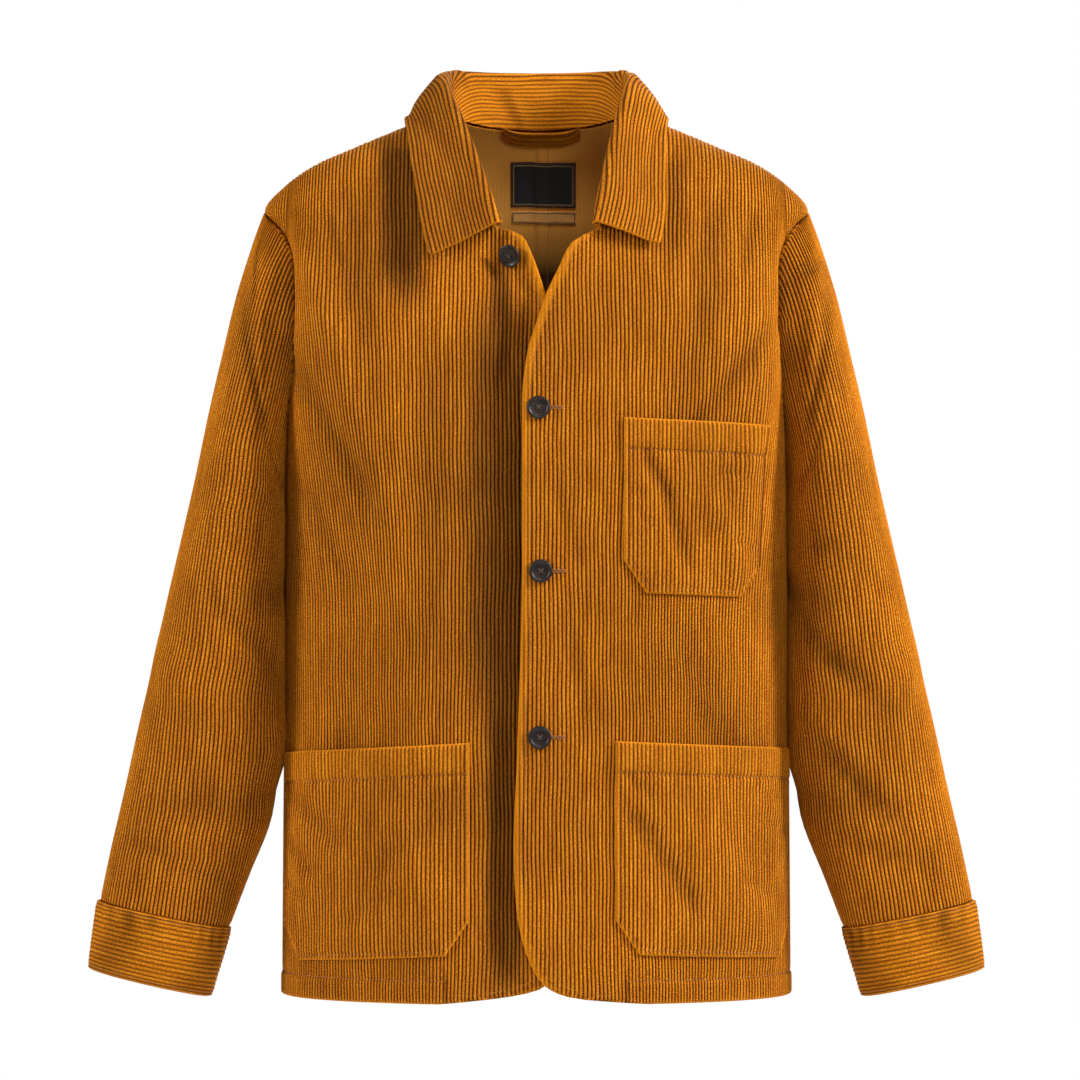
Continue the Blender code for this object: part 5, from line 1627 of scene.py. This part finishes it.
def make_label(name, edges, material):
    """A woven label, its cut ends folded under, that has settled a little on the cloth."""
    across, up = np.linspace(0, 1, 33), np.linspace(0, 1, 15)[:, None]
    wide, high = edges.right - edges.left, edges.top - edges.bottom
    x = edges.left + wide * across
    z = edges.bottom + high * up + 0.35 * np.sin(across * 5.0)
    to_end, to_side = np.minimum(across, 1 - across) * wide, np.minimum(up, 1 - up) * high
    free = np.minimum(to_end, to_side)
    settled = 0.35 * np.sin(across * 9.0 + up * 3.0) * np.sin(math.pi * up)
    lift = label_lift(x) + settled * ease(free / 4) - rounding(free, 0.6) * 0.8
    outer, inner = back_inside(x, z, lift + 0.25), back_inside(x, z, lift - 0.35)
    piece = cloth_shell(
        name + "_woven", outer, inner, across, up, 0.0, materials=(material,)
    )
    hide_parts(name)
    return piece


def make_hanger_loop(name):
    """A strap folded in three, so that it is soft and round, and sewn in at the collar seam."""
    share, turn = np.linspace(0, 1, 41)[:, None], np.linspace(-math.pi, math.pi, 31)
    x = LOOP_ENDS_X[0] + (LOOP_ENDS_X[1] - LOOP_ENDS_X[0]) * share
    bow = 1 - np.abs(2 * share - 1) ** 4
    middle = LOOP_TOP_Z - LOOP_SAG * bow - LOOP_WIDTH / 2
    half_high = LOOP_WIDTH / 2 * (0.9 + 0.1 * bow)
    up, out = half_high * np.sin(turn), (1.6 + 0.8 * bow) * np.cos(turn)
    off_back = 2.2 + 3.0 * bow
    pile = 0.5 * wale_shape(up + half_high) * (np.cos(turn) > -0.1)
    outer = back_inside(x, middle + up, off_back + out + pile)
    inner = back_inside(x, middle + LOOP_CORE * up, off_back + LOOP_CORE * out)
    wales = (up + half_high) / pitch()
    run = LOOP_LENGTH * share
    piece = cloth_shell(
        name + "_cloth", outer, inner, wales, run, LOOP_WEAR_AND_PAINTED_LIGHT, materials=("corduroy",)
    )
    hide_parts(name)
    return piece


# ---- Buttons and buttonholes ----

BUTTON_SHARP_ANGLE = math.radians(38)
THREAD_END = 0.55  # how thin a thread gets at its ends
DISH = 2.15  # height of the dish in which a button's threads lie
THREAD_APART = 0.28
BUTTON_THREAD_RADIUS = 0.36
SHANK, TOP_SHANK = 0.8, 2.2  # length of thread between a button and its cloth
BUTTONHOLE_HALF_WIDTH = 0.8
BUTTONHOLE_CORD = 0.62  # radius of the thread that the binding goes round
BAR_STEP = 0.62  # from one bar of a buttonhole's binding to the next
BAR_SIZE = (0.00088, 0.00026, 0.0008, 1)


def seat_on(panel, x, z, lift):
    """Place and axes of something that lies on a panel: along it, up it and out of it."""
    length = panel.length_at(x * panel.side, z)
    step = 5.0
    level = panel.skin(length + step, z)[0] - panel.skin(length - step, z)[0]
    rise = panel.skin(length, z + step)[0] - panel.skin(length, z - step)[0]
    normal = unit(np.cross(level, rise)) * panel.side
    level = unit(level) * panel.side
    return panel.skin(length, z)[0] + normal * lift, level, unit(np.cross(normal, level)), normal


def facing(place, direction):
    """Turns a seat to face a direction."""
    normal = unit(np.array(direction))
    level = unit(np.cross((0.0, 0.0, 1.0), normal))
    return place[0], level, np.cross(normal, level), normal


def turned(place, level, up, normal):
    """Matrix that puts a piece made round the origin in its place, in metres."""
    columns = Matrix((level, up, normal)).transposed().to_4x4()
    return Matrix.Translation(Vector(place) * MM) @ columns


def button_profile():
    """Half of a button's section, from the middle of its back to the middle of its dish."""
    radius, thick = BUTTON_RADIUS, BUTTON_THICKNESS
    back = [(0, 0), (radius - 2.2, 0), (radius - 0.7, 0.5), (radius - 0.1, 1.2)]
    rim = [(radius, 1.7), (radius - 0.12, 2.3), (radius - 0.5, 2.75), (radius - 1.1, thick)]
    dish = [(radius - 1.9, 2.9), (radius - 2.5, 2.45), (radius - 3.0, 2.1)]
    return back + rim + dish + [(radius - 4.2, 1.95), (0, 1.9)]


def as_object(name, bm):
    """Turns a bmesh into an object, and frees it."""
    mesh = bpy.data.meshes.new(name)
    bm.to_mesh(mesh)
    bm.free()
    thing = bpy.data.objects.new(name, mesh)
    bpy.context.scene.collection.objects.link(thing)
    return thing


def make_button(name, place):
    """A four-hole button turned from a resin blank: rolled rim, dish and drilled holes."""
    bm = bmesh.new()
    verts = [bm.verts.new((x * MM, 0, z * MM)) for x, z in button_profile()]
    edges = [bm.edges.new(pair) for pair in zip(verts, verts[1:])]
    bmesh.ops.spin(
        bm,
        geom=verts + edges,
        cent=(0, 0, 0),
        axis=(0, 0, 1),
        angle=2 * math.pi,
        steps=56,
        use_merge=True,
    )
    bmesh.ops.remove_doubles(bm, verts=bm.verts, dist=0.00001)
    bmesh.ops.recalc_face_normals(bm, faces=bm.faces)
    blank = as_object(name + "_blank", bm)
    holes = bmesh.new()
    off = BUTTON_HOLE_SPACING / 2
    for x, y in ((-off, -off), (-off, off), (off, -off), (off, off)):
        bmesh.ops.create_cone(
            holes,
            cap_ends=True,
            segments=14,
            radius1=BUTTON_HOLE / 2 * MM,
            radius2=BUTTON_HOLE / 2 * MM,
            depth=8 * MM,
            matrix=Matrix.Translation((x * MM, y * MM, BUTTON_THICKNESS / 2 * MM)),
        )
    cutter = as_object("holes", holes)
    cut = blank.modifiers.new("holes", "BOOLEAN")
    cut.object = cutter
    cut.solver = "EXACT"
    drilled = blank.evaluated_get(bpy.context.evaluated_depsgraph_get())
    done = bpy.data.meshes.new_from_object(drilled)
    for thing in (blank, cutter):
        bpy.data.objects.remove(thing, do_unlink=True)
    done.transform(turned(*place))
    done.shade_smooth()
    done.set_sharp_from_angle(angle=BUTTON_SHARP_ANGLE)
    piece = show(name + "_resin", done, ["horn"])
    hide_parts(name)
    return piece


def thread_tube(bm, line, radius, sides=6):
    """Adds a round thread along a line of points, in metres."""
    line = [Vector(point) for point in line]
    last = len(line) - 1
    rings = []
    for i, point in enumerate(line):
        is_end = i in (0, last)
        ahead = (line[min(i + 1, last)] - line[max(i - 1, 0)]).normalized()
        ring = bmesh.ops.create_circle(
            bm,
            cap_ends=is_end,
            segments=sides,
            radius=radius * (THREAD_END if is_end else 1.0),
            matrix=Matrix.Translation(point) @ ahead.to_track_quat("Z", "Y").to_matrix().to_4x4(),
        )
        rings.append(ring["verts"])
    for pair in zip(rings, rings[1:]):
        edges = {e for ring in pair for v in ring for e in v.link_edges if e.other_vert(v) in ring}
        bmesh.ops.bridge_loops(bm, edges=list(edges))


def finish_threads(name, bm, material="thread"):
    """Shows a bmesh of threads as a piece."""
    mesh = bpy.data.meshes.new(name)
    bm.to_mesh(mesh)
    bm.free()
    mesh.shade_smooth()
    return show(name, mesh, [material])


def make_button_thread(name, place, shank):
    """The thread through the four holes, in two crossed pairs, and down to the cloth."""
    bm = bmesh.new()
    matrix = turned(*place)
    half = BUTTON_HOLE_SPACING / 2
    for turn, x in enumerate((half, -half)):
        top = DISH + 0.3 * turn
        for shift in (-THREAD_APART, THREAD_APART):
            ends = [(x, half, -shank), (x, half, top - 0.3), (x * 0.6, half * 0.6, top + 0.35)]
            line = ends + [(0, 0, top + 0.5)] + [(-px, -py, pz) for px, py, pz in ends[::-1]]
            line = [matrix @ (Vector((px + shift, py, pz)) * MM) for px, py, pz in line]
            thread_tube(bm, line, BUTTON_THREAD_RADIUS * MM)
    bmesh.ops.recalc_face_normals(bm, faces=bm.faces)
    return finish_threads(name, bm, "button_thread")


def make_buttonhole(name, button):
    """A worked buttonhole: a slit whose edges are bound with close thread."""
    panel = panels()["front_left"]
    start = button.x - 1.5
    end = start + BUTTONHOLE_LENGTH
    side = np.linspace(start, end, 30)
    turn = np.linspace(math.pi / 2, -math.pi / 2, 9)[1:-1]
    x = np.concatenate([side, end + BUTTONHOLE_HALF_WIDTH * np.cos(turn), side[::-1]])
    z = np.concatenate([np.ones(30), np.sin(turn), -np.ones(30)])
    z = button.z + BUTTONHOLE_HALF_WIDTH * z
    lengths = np.array([panel.length_at(*place) for place in zip(x, z)])
    line, normals = panel.skin(lengths, z, 0.35)
    bm = bmesh.new()
    thread_tube(bm, (line * MM).tolist(), BUTTONHOLE_CORD * MM, 7)
    bars = along(line, np.arange(0.4, line_length(line), BAR_STEP))
    for point, ahead in zip(bars, unit(np.diff(bars, axis=0))):
        axes = (unit(np.cross(normals[0], ahead)), ahead, normals[0])
        bead(bm, point, axes, BAR_SIZE)
    bmesh.ops.recalc_face_normals(bm, faces=bm.faces)
    return finish_threads(name, bm)


# ---- Stitching ----

FELL_INSIDE = {-1: -1.4, 1: 9.6}  # where the middle seam's stitches show on the wrong side
LABEL_STITCH = 0.9  # from a label's edge to its row of stitches


def bead(bm, place, axes, size):
    """Adds one stitch: a small bead turned to its axes."""
    matrix = Matrix.Translation(Vector(place) * MM) @ Matrix(axes).transposed().to_4x4()
    matrix = matrix @ Matrix.Diagonal(size)
    bmesh.ops.create_uvsphere(bm, u_segments=6, v_segments=4, radius=1.0, matrix=matrix)


def stitch_rows(name, lines):
    """Rows of machine stitches, each sunk a little into the pile."""
    target = bmesh.new()
    step = millimetres("stitch_length")
    size = (0.00034, step * 0.00041, 0.00028, 1)
    for line, normals in lines:
        reach = line_places(line)
        if reach[-1] < 2 * step:
            continue
        both = np.concatenate([line, normals], axis=1)
        places = np.arange(step * 0.5, line_length(line), step)
        middle, before, after = (
            np.stack([np.interp(p, reach, both[:, k]) for k in range(6)], axis=1)
            for p in (places, places - step * 0.4, places + step * 0.4)
        )
        bm = bmesh.new()
        for centre, ahead in zip(middle, unit(after[:, :3] - before[:, :3])):
            side = unit(np.cross(unit(centre[3:]), ahead))
            bead(bm, centre[:3], (side, ahead, np.cross(side, ahead)), size)
        mesh = bpy.data.meshes.new("row")
        bm.to_mesh(mesh)
        bm.free()
        target.from_mesh(mesh)
        bpy.data.meshes.remove(mesh)
    return finish_threads(name, target)


def edge_row(panel, z, distance):
    """A row of stitches along a front's closing edge, down to where it turns into the hem."""
    lengths = np.array([panel.limits(float(level))[0] + distance for level in z])
    return panel.skin(lengths, z, edge_roll(z, distance)[1] - 0.35)


def hem_row(panel, first, last):
    """A row of stitches along a hem."""
    return panel.skin(np.linspace(first, last, 80), HEM_STITCH_Z, 0.1)


def stitch_torso(name):
    """The stitches of a front's edge and hem, or of a back's hem, armhole and middle seam."""
    panel = panels()[name]
    start, end = panel.limits(HEM_STITCH_Z)
    if panel.is_front:
        turn = np.linspace(0, 1, 30)
        corner = panel.limits(-700.0)[0] + EDGE_STITCH
        curve = corner + (68 - corner) * turn**1.5
        heights = -700.0 - 19.5 * np.sin(math.pi / 2 * turn)
        lines = [
            edge_row(panel, np.arange(-700.0, -98.0, 4.0), EDGE_STITCH),
            hem_row(panel, 74, end - 1),
            panel.skin(curve, heights, 0.1),
        ]
    else:
        heights = np.arange(-720.0, -12.0, 6.0)
        lines = [hem_row(panel, start + 1, end - 1)]
        if panel.side > 0:
            lines += [panel.skin(BACK_SEAM_X + place, heights, 0.0) for place in FELL_STITCHES]
        inside = FELL_INSIDE[panel.side]
        line, normals = panel.skin(inside, heights, -CLOTH - 1.32)
        lines.append((line, -normals))
        heights = np.arange(-266.0, -82.0, 4.0)
        ends = np.array([panel.limits(z)[1] - 3.0 for z in heights.tolist()])
        lines.append(panel.skin(ends, heights, 0.12))
    return stitch_rows(name + "_stitches", lines)


def stitch_pocket(name):
    """The row round a pocket's sides and foot, and the one across its hem."""
    pocket = POCKETS[name]
    left, right = pocket.inner + POCKET_STITCH, pocket.inner + pocket.width - POCKET_STITCH
    bottom = pocket.height - POCKET_STITCH
    cut = pocket.corner - 0.6 * POCKET_STITCH
    corners = np.array(
        [
            (left, 3.0),
            (left, bottom - cut),
            (left + POCKET_SLANT[0] * cut, bottom),
            (right - POCKET_SLANT[1] * cut, bottom),
            (right, bottom - cut),
            (right, 3.0),
        ]
    )
    line = along(corners, np.arange(0, line_length(corners), 2.0))
    hem = np.stack([np.linspace(left - 2.5, right + 2.5, 90), np.full(90, POCKET_HEM)], axis=1)
    rows = []
    for across, down in (line.T, hem.T):
        inside = np.minimum(across - pocket.inner, pocket.inner + pocket.width - across)
        inside = np.minimum(np.minimum(inside, down), pocket.height - down)
        lift = pocket_swell(name, across, down, inside) + CLOTH - 0.7
        rows.append(pocket_skin(name, across, down, lift))
    return stitch_rows(name + "_stitches", rows)


def stitch_cuff(name):
    """The two rows round a cuff."""
    band = tube(name)
    rows = []
    for place in CUFF_STITCHES:
        t = place / CUFF_LENGTH
        lengths = band.round_it(t, 140)
        rows.append(band.skin(t, lengths, cuff_wave(lengths, place) - 0.2))
    return stitch_rows(name + "_stitches", rows)


def stitch_collar(grid, normals, widths, run):
    """The row of stitches round the leaf, inside its free edges."""
    both = np.concatenate([grid, normals], axis=2)
    inner = [i for i in range(len(run)) if LEAF_STITCH <= run[i] <= run[-1] - LEAF_STITCH]

    def at(i, width):
        return [np.interp(width, widths[i], both[i, :, k]) for k in range(6)]

    rows = [np.array([at(i, LEAF_STITCH) for i in inner])]
    for i in (inner[0], inner[-1]):
        leaf_top = float(widths[i].max()) * 0.52
        rows.append(np.array([at(i, width) for width in np.linspace(LEAF_STITCH, leaf_top, 30)]))
    return stitch_rows("collar_stitches", [(row[:, :3], row[:, 3:]) for row in rows])


def stitch_labels():
    """The rows that hold the two labels by their edges."""
    rows = []
    for edges in (NECK_LABEL, SIZE_LABEL):
        left, right = edges.left + LABEL_STITCH, edges.right - LABEL_STITCH
        top, bottom = edges.top - LABEL_STITCH, edges.bottom + LABEL_STITCH
        corners = [(left, top), (right, top), (right, bottom), (left, bottom), (left, top)]
        x, z = along(corners, np.arange(0, line_length(corners), 1.5)).T
        line = back_inside(x, z + 0.2, label_lift(x) + 0.25)
        rows.append((line, np.tile([0.0, -1.0, 0.0], (len(line), 1))))
    return stitch_rows("label_stitches", rows)


# ---- Stage ----

CAMERA_DISTANCE = 4.6
SEEN_WIDTH = 0.9007  # metres across the picture, at the jacket
SENSOR_WIDTH = 36
FLOOR_RADIUS = 2.4
SURROUND_LIGHT = 0.08
Light = namedtuple("Light", "name place target size power colour")
LIGHTS = rows_of(
    Light,
    ("key", (3.0, -1.25, 1.45), (0, 0, -0.36), (0.7, 1.1), 190, (1.0, 0.97, 0.93)),
    ("left_side", (-3.0, -1.3, 0.8), (0, 0, -0.36), (0.8, 1.2), 90, (1.0, 0.97, 0.94)),
    ("above", (0.35, -2.3, 2.3), (0, 0, -0.1), (0.9, 0.7), 36, (1.0, 0.99, 0.97)),
    ("front", (0.9, -3.4, 0.35), (0, 0, -0.2), (0.8, 0.8), 20, (1.0, 0.98, 0.95)),
    ("back", (0.6, 2.9, 1.3), (0, 0, -0.36), (1.8, 1.4), 60, (1.0, 0.99, 0.97)),
)


def area_light(name, place, target, size, power, colour):
    """Adds a soft box that shines from a place to a target."""
    data = bpy.data.lights.new(name, "AREA")
    data.shape = "RECTANGLE"
    data.size, data.size_y = size
    data.energy = power
    data.color = colour
    light = bpy.data.objects.new(name, data)
    bpy.context.scene.collection.objects.link(light)
    light.location = place
    light.rotation_euler = (Vector(target) - Vector(place)).to_track_quat("-Z", "Y").to_euler()


def floor_material():
    """Matt white seamless paper, pressed from pulp: the faint tooth of its surface keeps the white
    from looking flat, and it casts a soft light up at the jacket."""
    material, tree, shader = new_material("studio_paper")
    place = node(tree, "TexCoord", output="Object")
    tooth = node(tree, "TexNoise", {"Vector": place, "Scale": 60.0, "Detail": 4.0}, "Fac")
    colours = {0: tooth, 6: rgb("EFEFEF"), 7: rgb("F4F4F4")}
    colour = node(tree, "Mix", colours, 2, data_type="RGBA")
    tree.links.new(colour, shader.inputs["Base Color"])
    shader.inputs["Roughness"].default_value = 0.9
    return material


def make_floor():
    """A round sheet of paper below the jacket."""
    bm = bmesh.new()
    bmesh.ops.create_circle(bm, cap_ends=True, segments=96, radius=FLOOR_RADIUS)
    floor = as_object("studio_floor", bm)
    floor.data.materials.append(floor_material())
    floor.location = (0, 0.2, -1.42)
    return floor


def make_world():
    """White studio surround: bright to look at, dimmer as a light."""
    world = bpy.data.worlds.new("studio")
    bpy.context.scene.world = world
    world.use_nodes = True
    tree = world.node_tree
    tree.nodes.clear()
    is_seen = node(tree, "LightPath", output="Is Camera Ray")
    strength = node(tree, "MapRange", {"Value": is_seen, "To Min": SURROUND_LIGHT, "To Max": 1.0})
    back = node(tree, "Background", {"Color": (1, 1, 1, 1), "Strength": strength})
    out = tree.nodes.new("ShaderNodeOutputWorld")
    tree.links.new(back, out.inputs[0])


def make_camera():
    """A long lens, level, in front of the jacket's middle."""
    data = bpy.data.cameras.new("camera")
    data.sensor_width = SENSOR_WIDTH
    data.lens = SENSOR_WIDTH * CAMERA_DISTANCE / SEEN_WIDTH
    camera = bpy.data.objects.new("camera", data)
    bpy.context.scene.collection.objects.link(camera)
    camera.location = (0.003, -CAMERA_DISTANCE, -0.350)
    camera.rotation_euler = (math.pi / 2, 0, 0)
    bpy.context.scene.camera = camera


# ---- Operators: one for each piece or group of like pieces ----


class JacketOperator:
    """What the operators share: each builds its pieces, or fails."""

    bl_options = {"REGISTER", "UNDO"}

    def execute(self, context):
        if not self.build():
            raise RuntimeError(f"{self.bl_label}: nothing was built")
        return {"FINISHED"}


class JACKET_OT_torso(JacketOperator, bpy.types.Operator):
    """Cuts the two fronts and the two backs"""

    bl_idname = "jacket.torso"
    bl_label = "Fronts and backs"

    def build(self):
        return [make_torso_panel(name) for name in panels()]


class JACKET_OT_sleeves(JacketOperator, bpy.types.Operator):
    """Sets in the sleeves and adds the cuffs"""

    bl_idname = "jacket.sleeves"
    bl_label = "Sleeves and cuffs"

    def build(self):
        made = [make_sleeve(name) for name in ("sleeve_left", "sleeve_right")]
        return made + [make_cuff(name) for name in ("cuff_left", "cuff_right")]


class JACKET_OT_collar(JacketOperator, bpy.types.Operator):
    """Folds the collar over and stitches it"""

    bl_idname = "jacket.collar"
    bl_label = "Collar"

    def build(self):
        return stitch_collar(*make_collar("collar"))


class JACKET_OT_pockets(JacketOperator, bpy.types.Operator):
    """Sews on the patch pockets"""

    bl_idname = "jacket.pockets"
    bl_label = "Pockets"

    def build(self):
        return [(make_pocket(name), stitch_pocket(name)) for name in POCKETS]


class JACKET_OT_labels(JacketOperator, bpy.types.Operator):
    """Adds the hanger loop and the two bare labels"""

    bl_idname = "jacket.labels"
    bl_label = "Hanger loop and labels"

    def build(self):
        return [
            make_hanger_loop("hanger_loop"),
            make_label("neck_label", NECK_LABEL, "black_label"),
            make_label("size_label", SIZE_LABEL, "tan_label"),
            stitch_labels(),
        ]


class JACKET_OT_buttons(JacketOperator, bpy.types.Operator):
    """Sews on the buttons and works the buttonholes"""

    bl_idname = "jacket.buttons"
    bl_label = "Buttons and buttonholes"

    def build(self):
        made = []
        for number, button in enumerate(BUTTONS, start=1):
            is_top = number == 1
            panel = panels()["front_right" if is_top else "front_left"]
            place = seat_on(panel, button.x, button.z, TOP_BUTTON_LIFT if is_top else BUTTON_LIFT)
            if is_top:
                place = facing(place, TOP_BUTTON_FACES)
            made.append(make_button(f"button_{number}", place))
            shank = TOP_SHANK if is_top else SHANK
            made.append(make_button_thread(f"button_thread_{number}", place, shank))
            if not is_top:
                made.append(make_buttonhole(f"buttonhole_{number}", button))
        return made


class JACKET_OT_stitching(JacketOperator, bpy.types.Operator):
    """Stitches the edges, hems, seams and cuffs"""

    bl_idname = "jacket.stitching"
    bl_label = "Stitching"

    def build(self):
        made = [stitch_torso(name) for name in panels()]
        return made + [stitch_cuff(name) for name in ("cuff_left", "cuff_right")]


class JACKET_OT_stage(JacketOperator, bpy.types.Operator):
    """Sets up the floor, the lights and the camera"""

    bl_idname = "jacket.stage"
    bl_label = "Stage"

    def build(self):
        make_world()
        make_camera()
        bpy.context.scene.view_settings.view_transform = "Standard"
        for light in LIGHTS:
            area_light(*light)
        return make_floor()


class JACKET_PT_sidebar(bpy.types.Panel):
    """Buttons that build the jacket, in order"""

    bl_idname = "JACKET_PT_sidebar"
    bl_label = "Corduroy jacket"
    bl_space_type = "VIEW_3D"
    bl_region_type = "UI"
    bl_category = "Jacket"

    def draw(self, context):
        for key in JacketSettings.__annotations__:
            self.layout.prop(context.scene.jacket_settings, key)
        for operator in OPERATORS:
            self.layout.operator(operator.bl_idname)


OPERATORS = (
    JACKET_OT_torso,
    JACKET_OT_sleeves,
    JACKET_OT_collar,
    JACKET_OT_pockets,
    JACKET_OT_labels,
    JACKET_OT_buttons,
    JACKET_OT_stitching,
    JACKET_OT_stage,
)
CLASSES = (JacketSettings, *OPERATORS, JACKET_PT_sidebar)


def register():
    for cls in CLASSES:
        bpy.utils.register_class(cls)
    bpy.types.Scene.jacket_settings = bpy.props.PointerProperty(type=JacketSettings)


def unregister():
    del bpy.types.Scene.jacket_settings
    for cls in reversed(CLASSES):
        bpy.utils.unregister_class(cls)


def main():
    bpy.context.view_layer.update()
    register()
    bpy.ops.jacket.torso()
    bpy.ops.jacket.sleeves()
    bpy.ops.jacket.collar()
    bpy.ops.jacket.pockets()
    bpy.ops.jacket.labels()
    bpy.ops.jacket.buttons()
    bpy.ops.jacket.stitching()
    bpy.ops.jacket.stage()


if __name__ == "__main__":
    main()
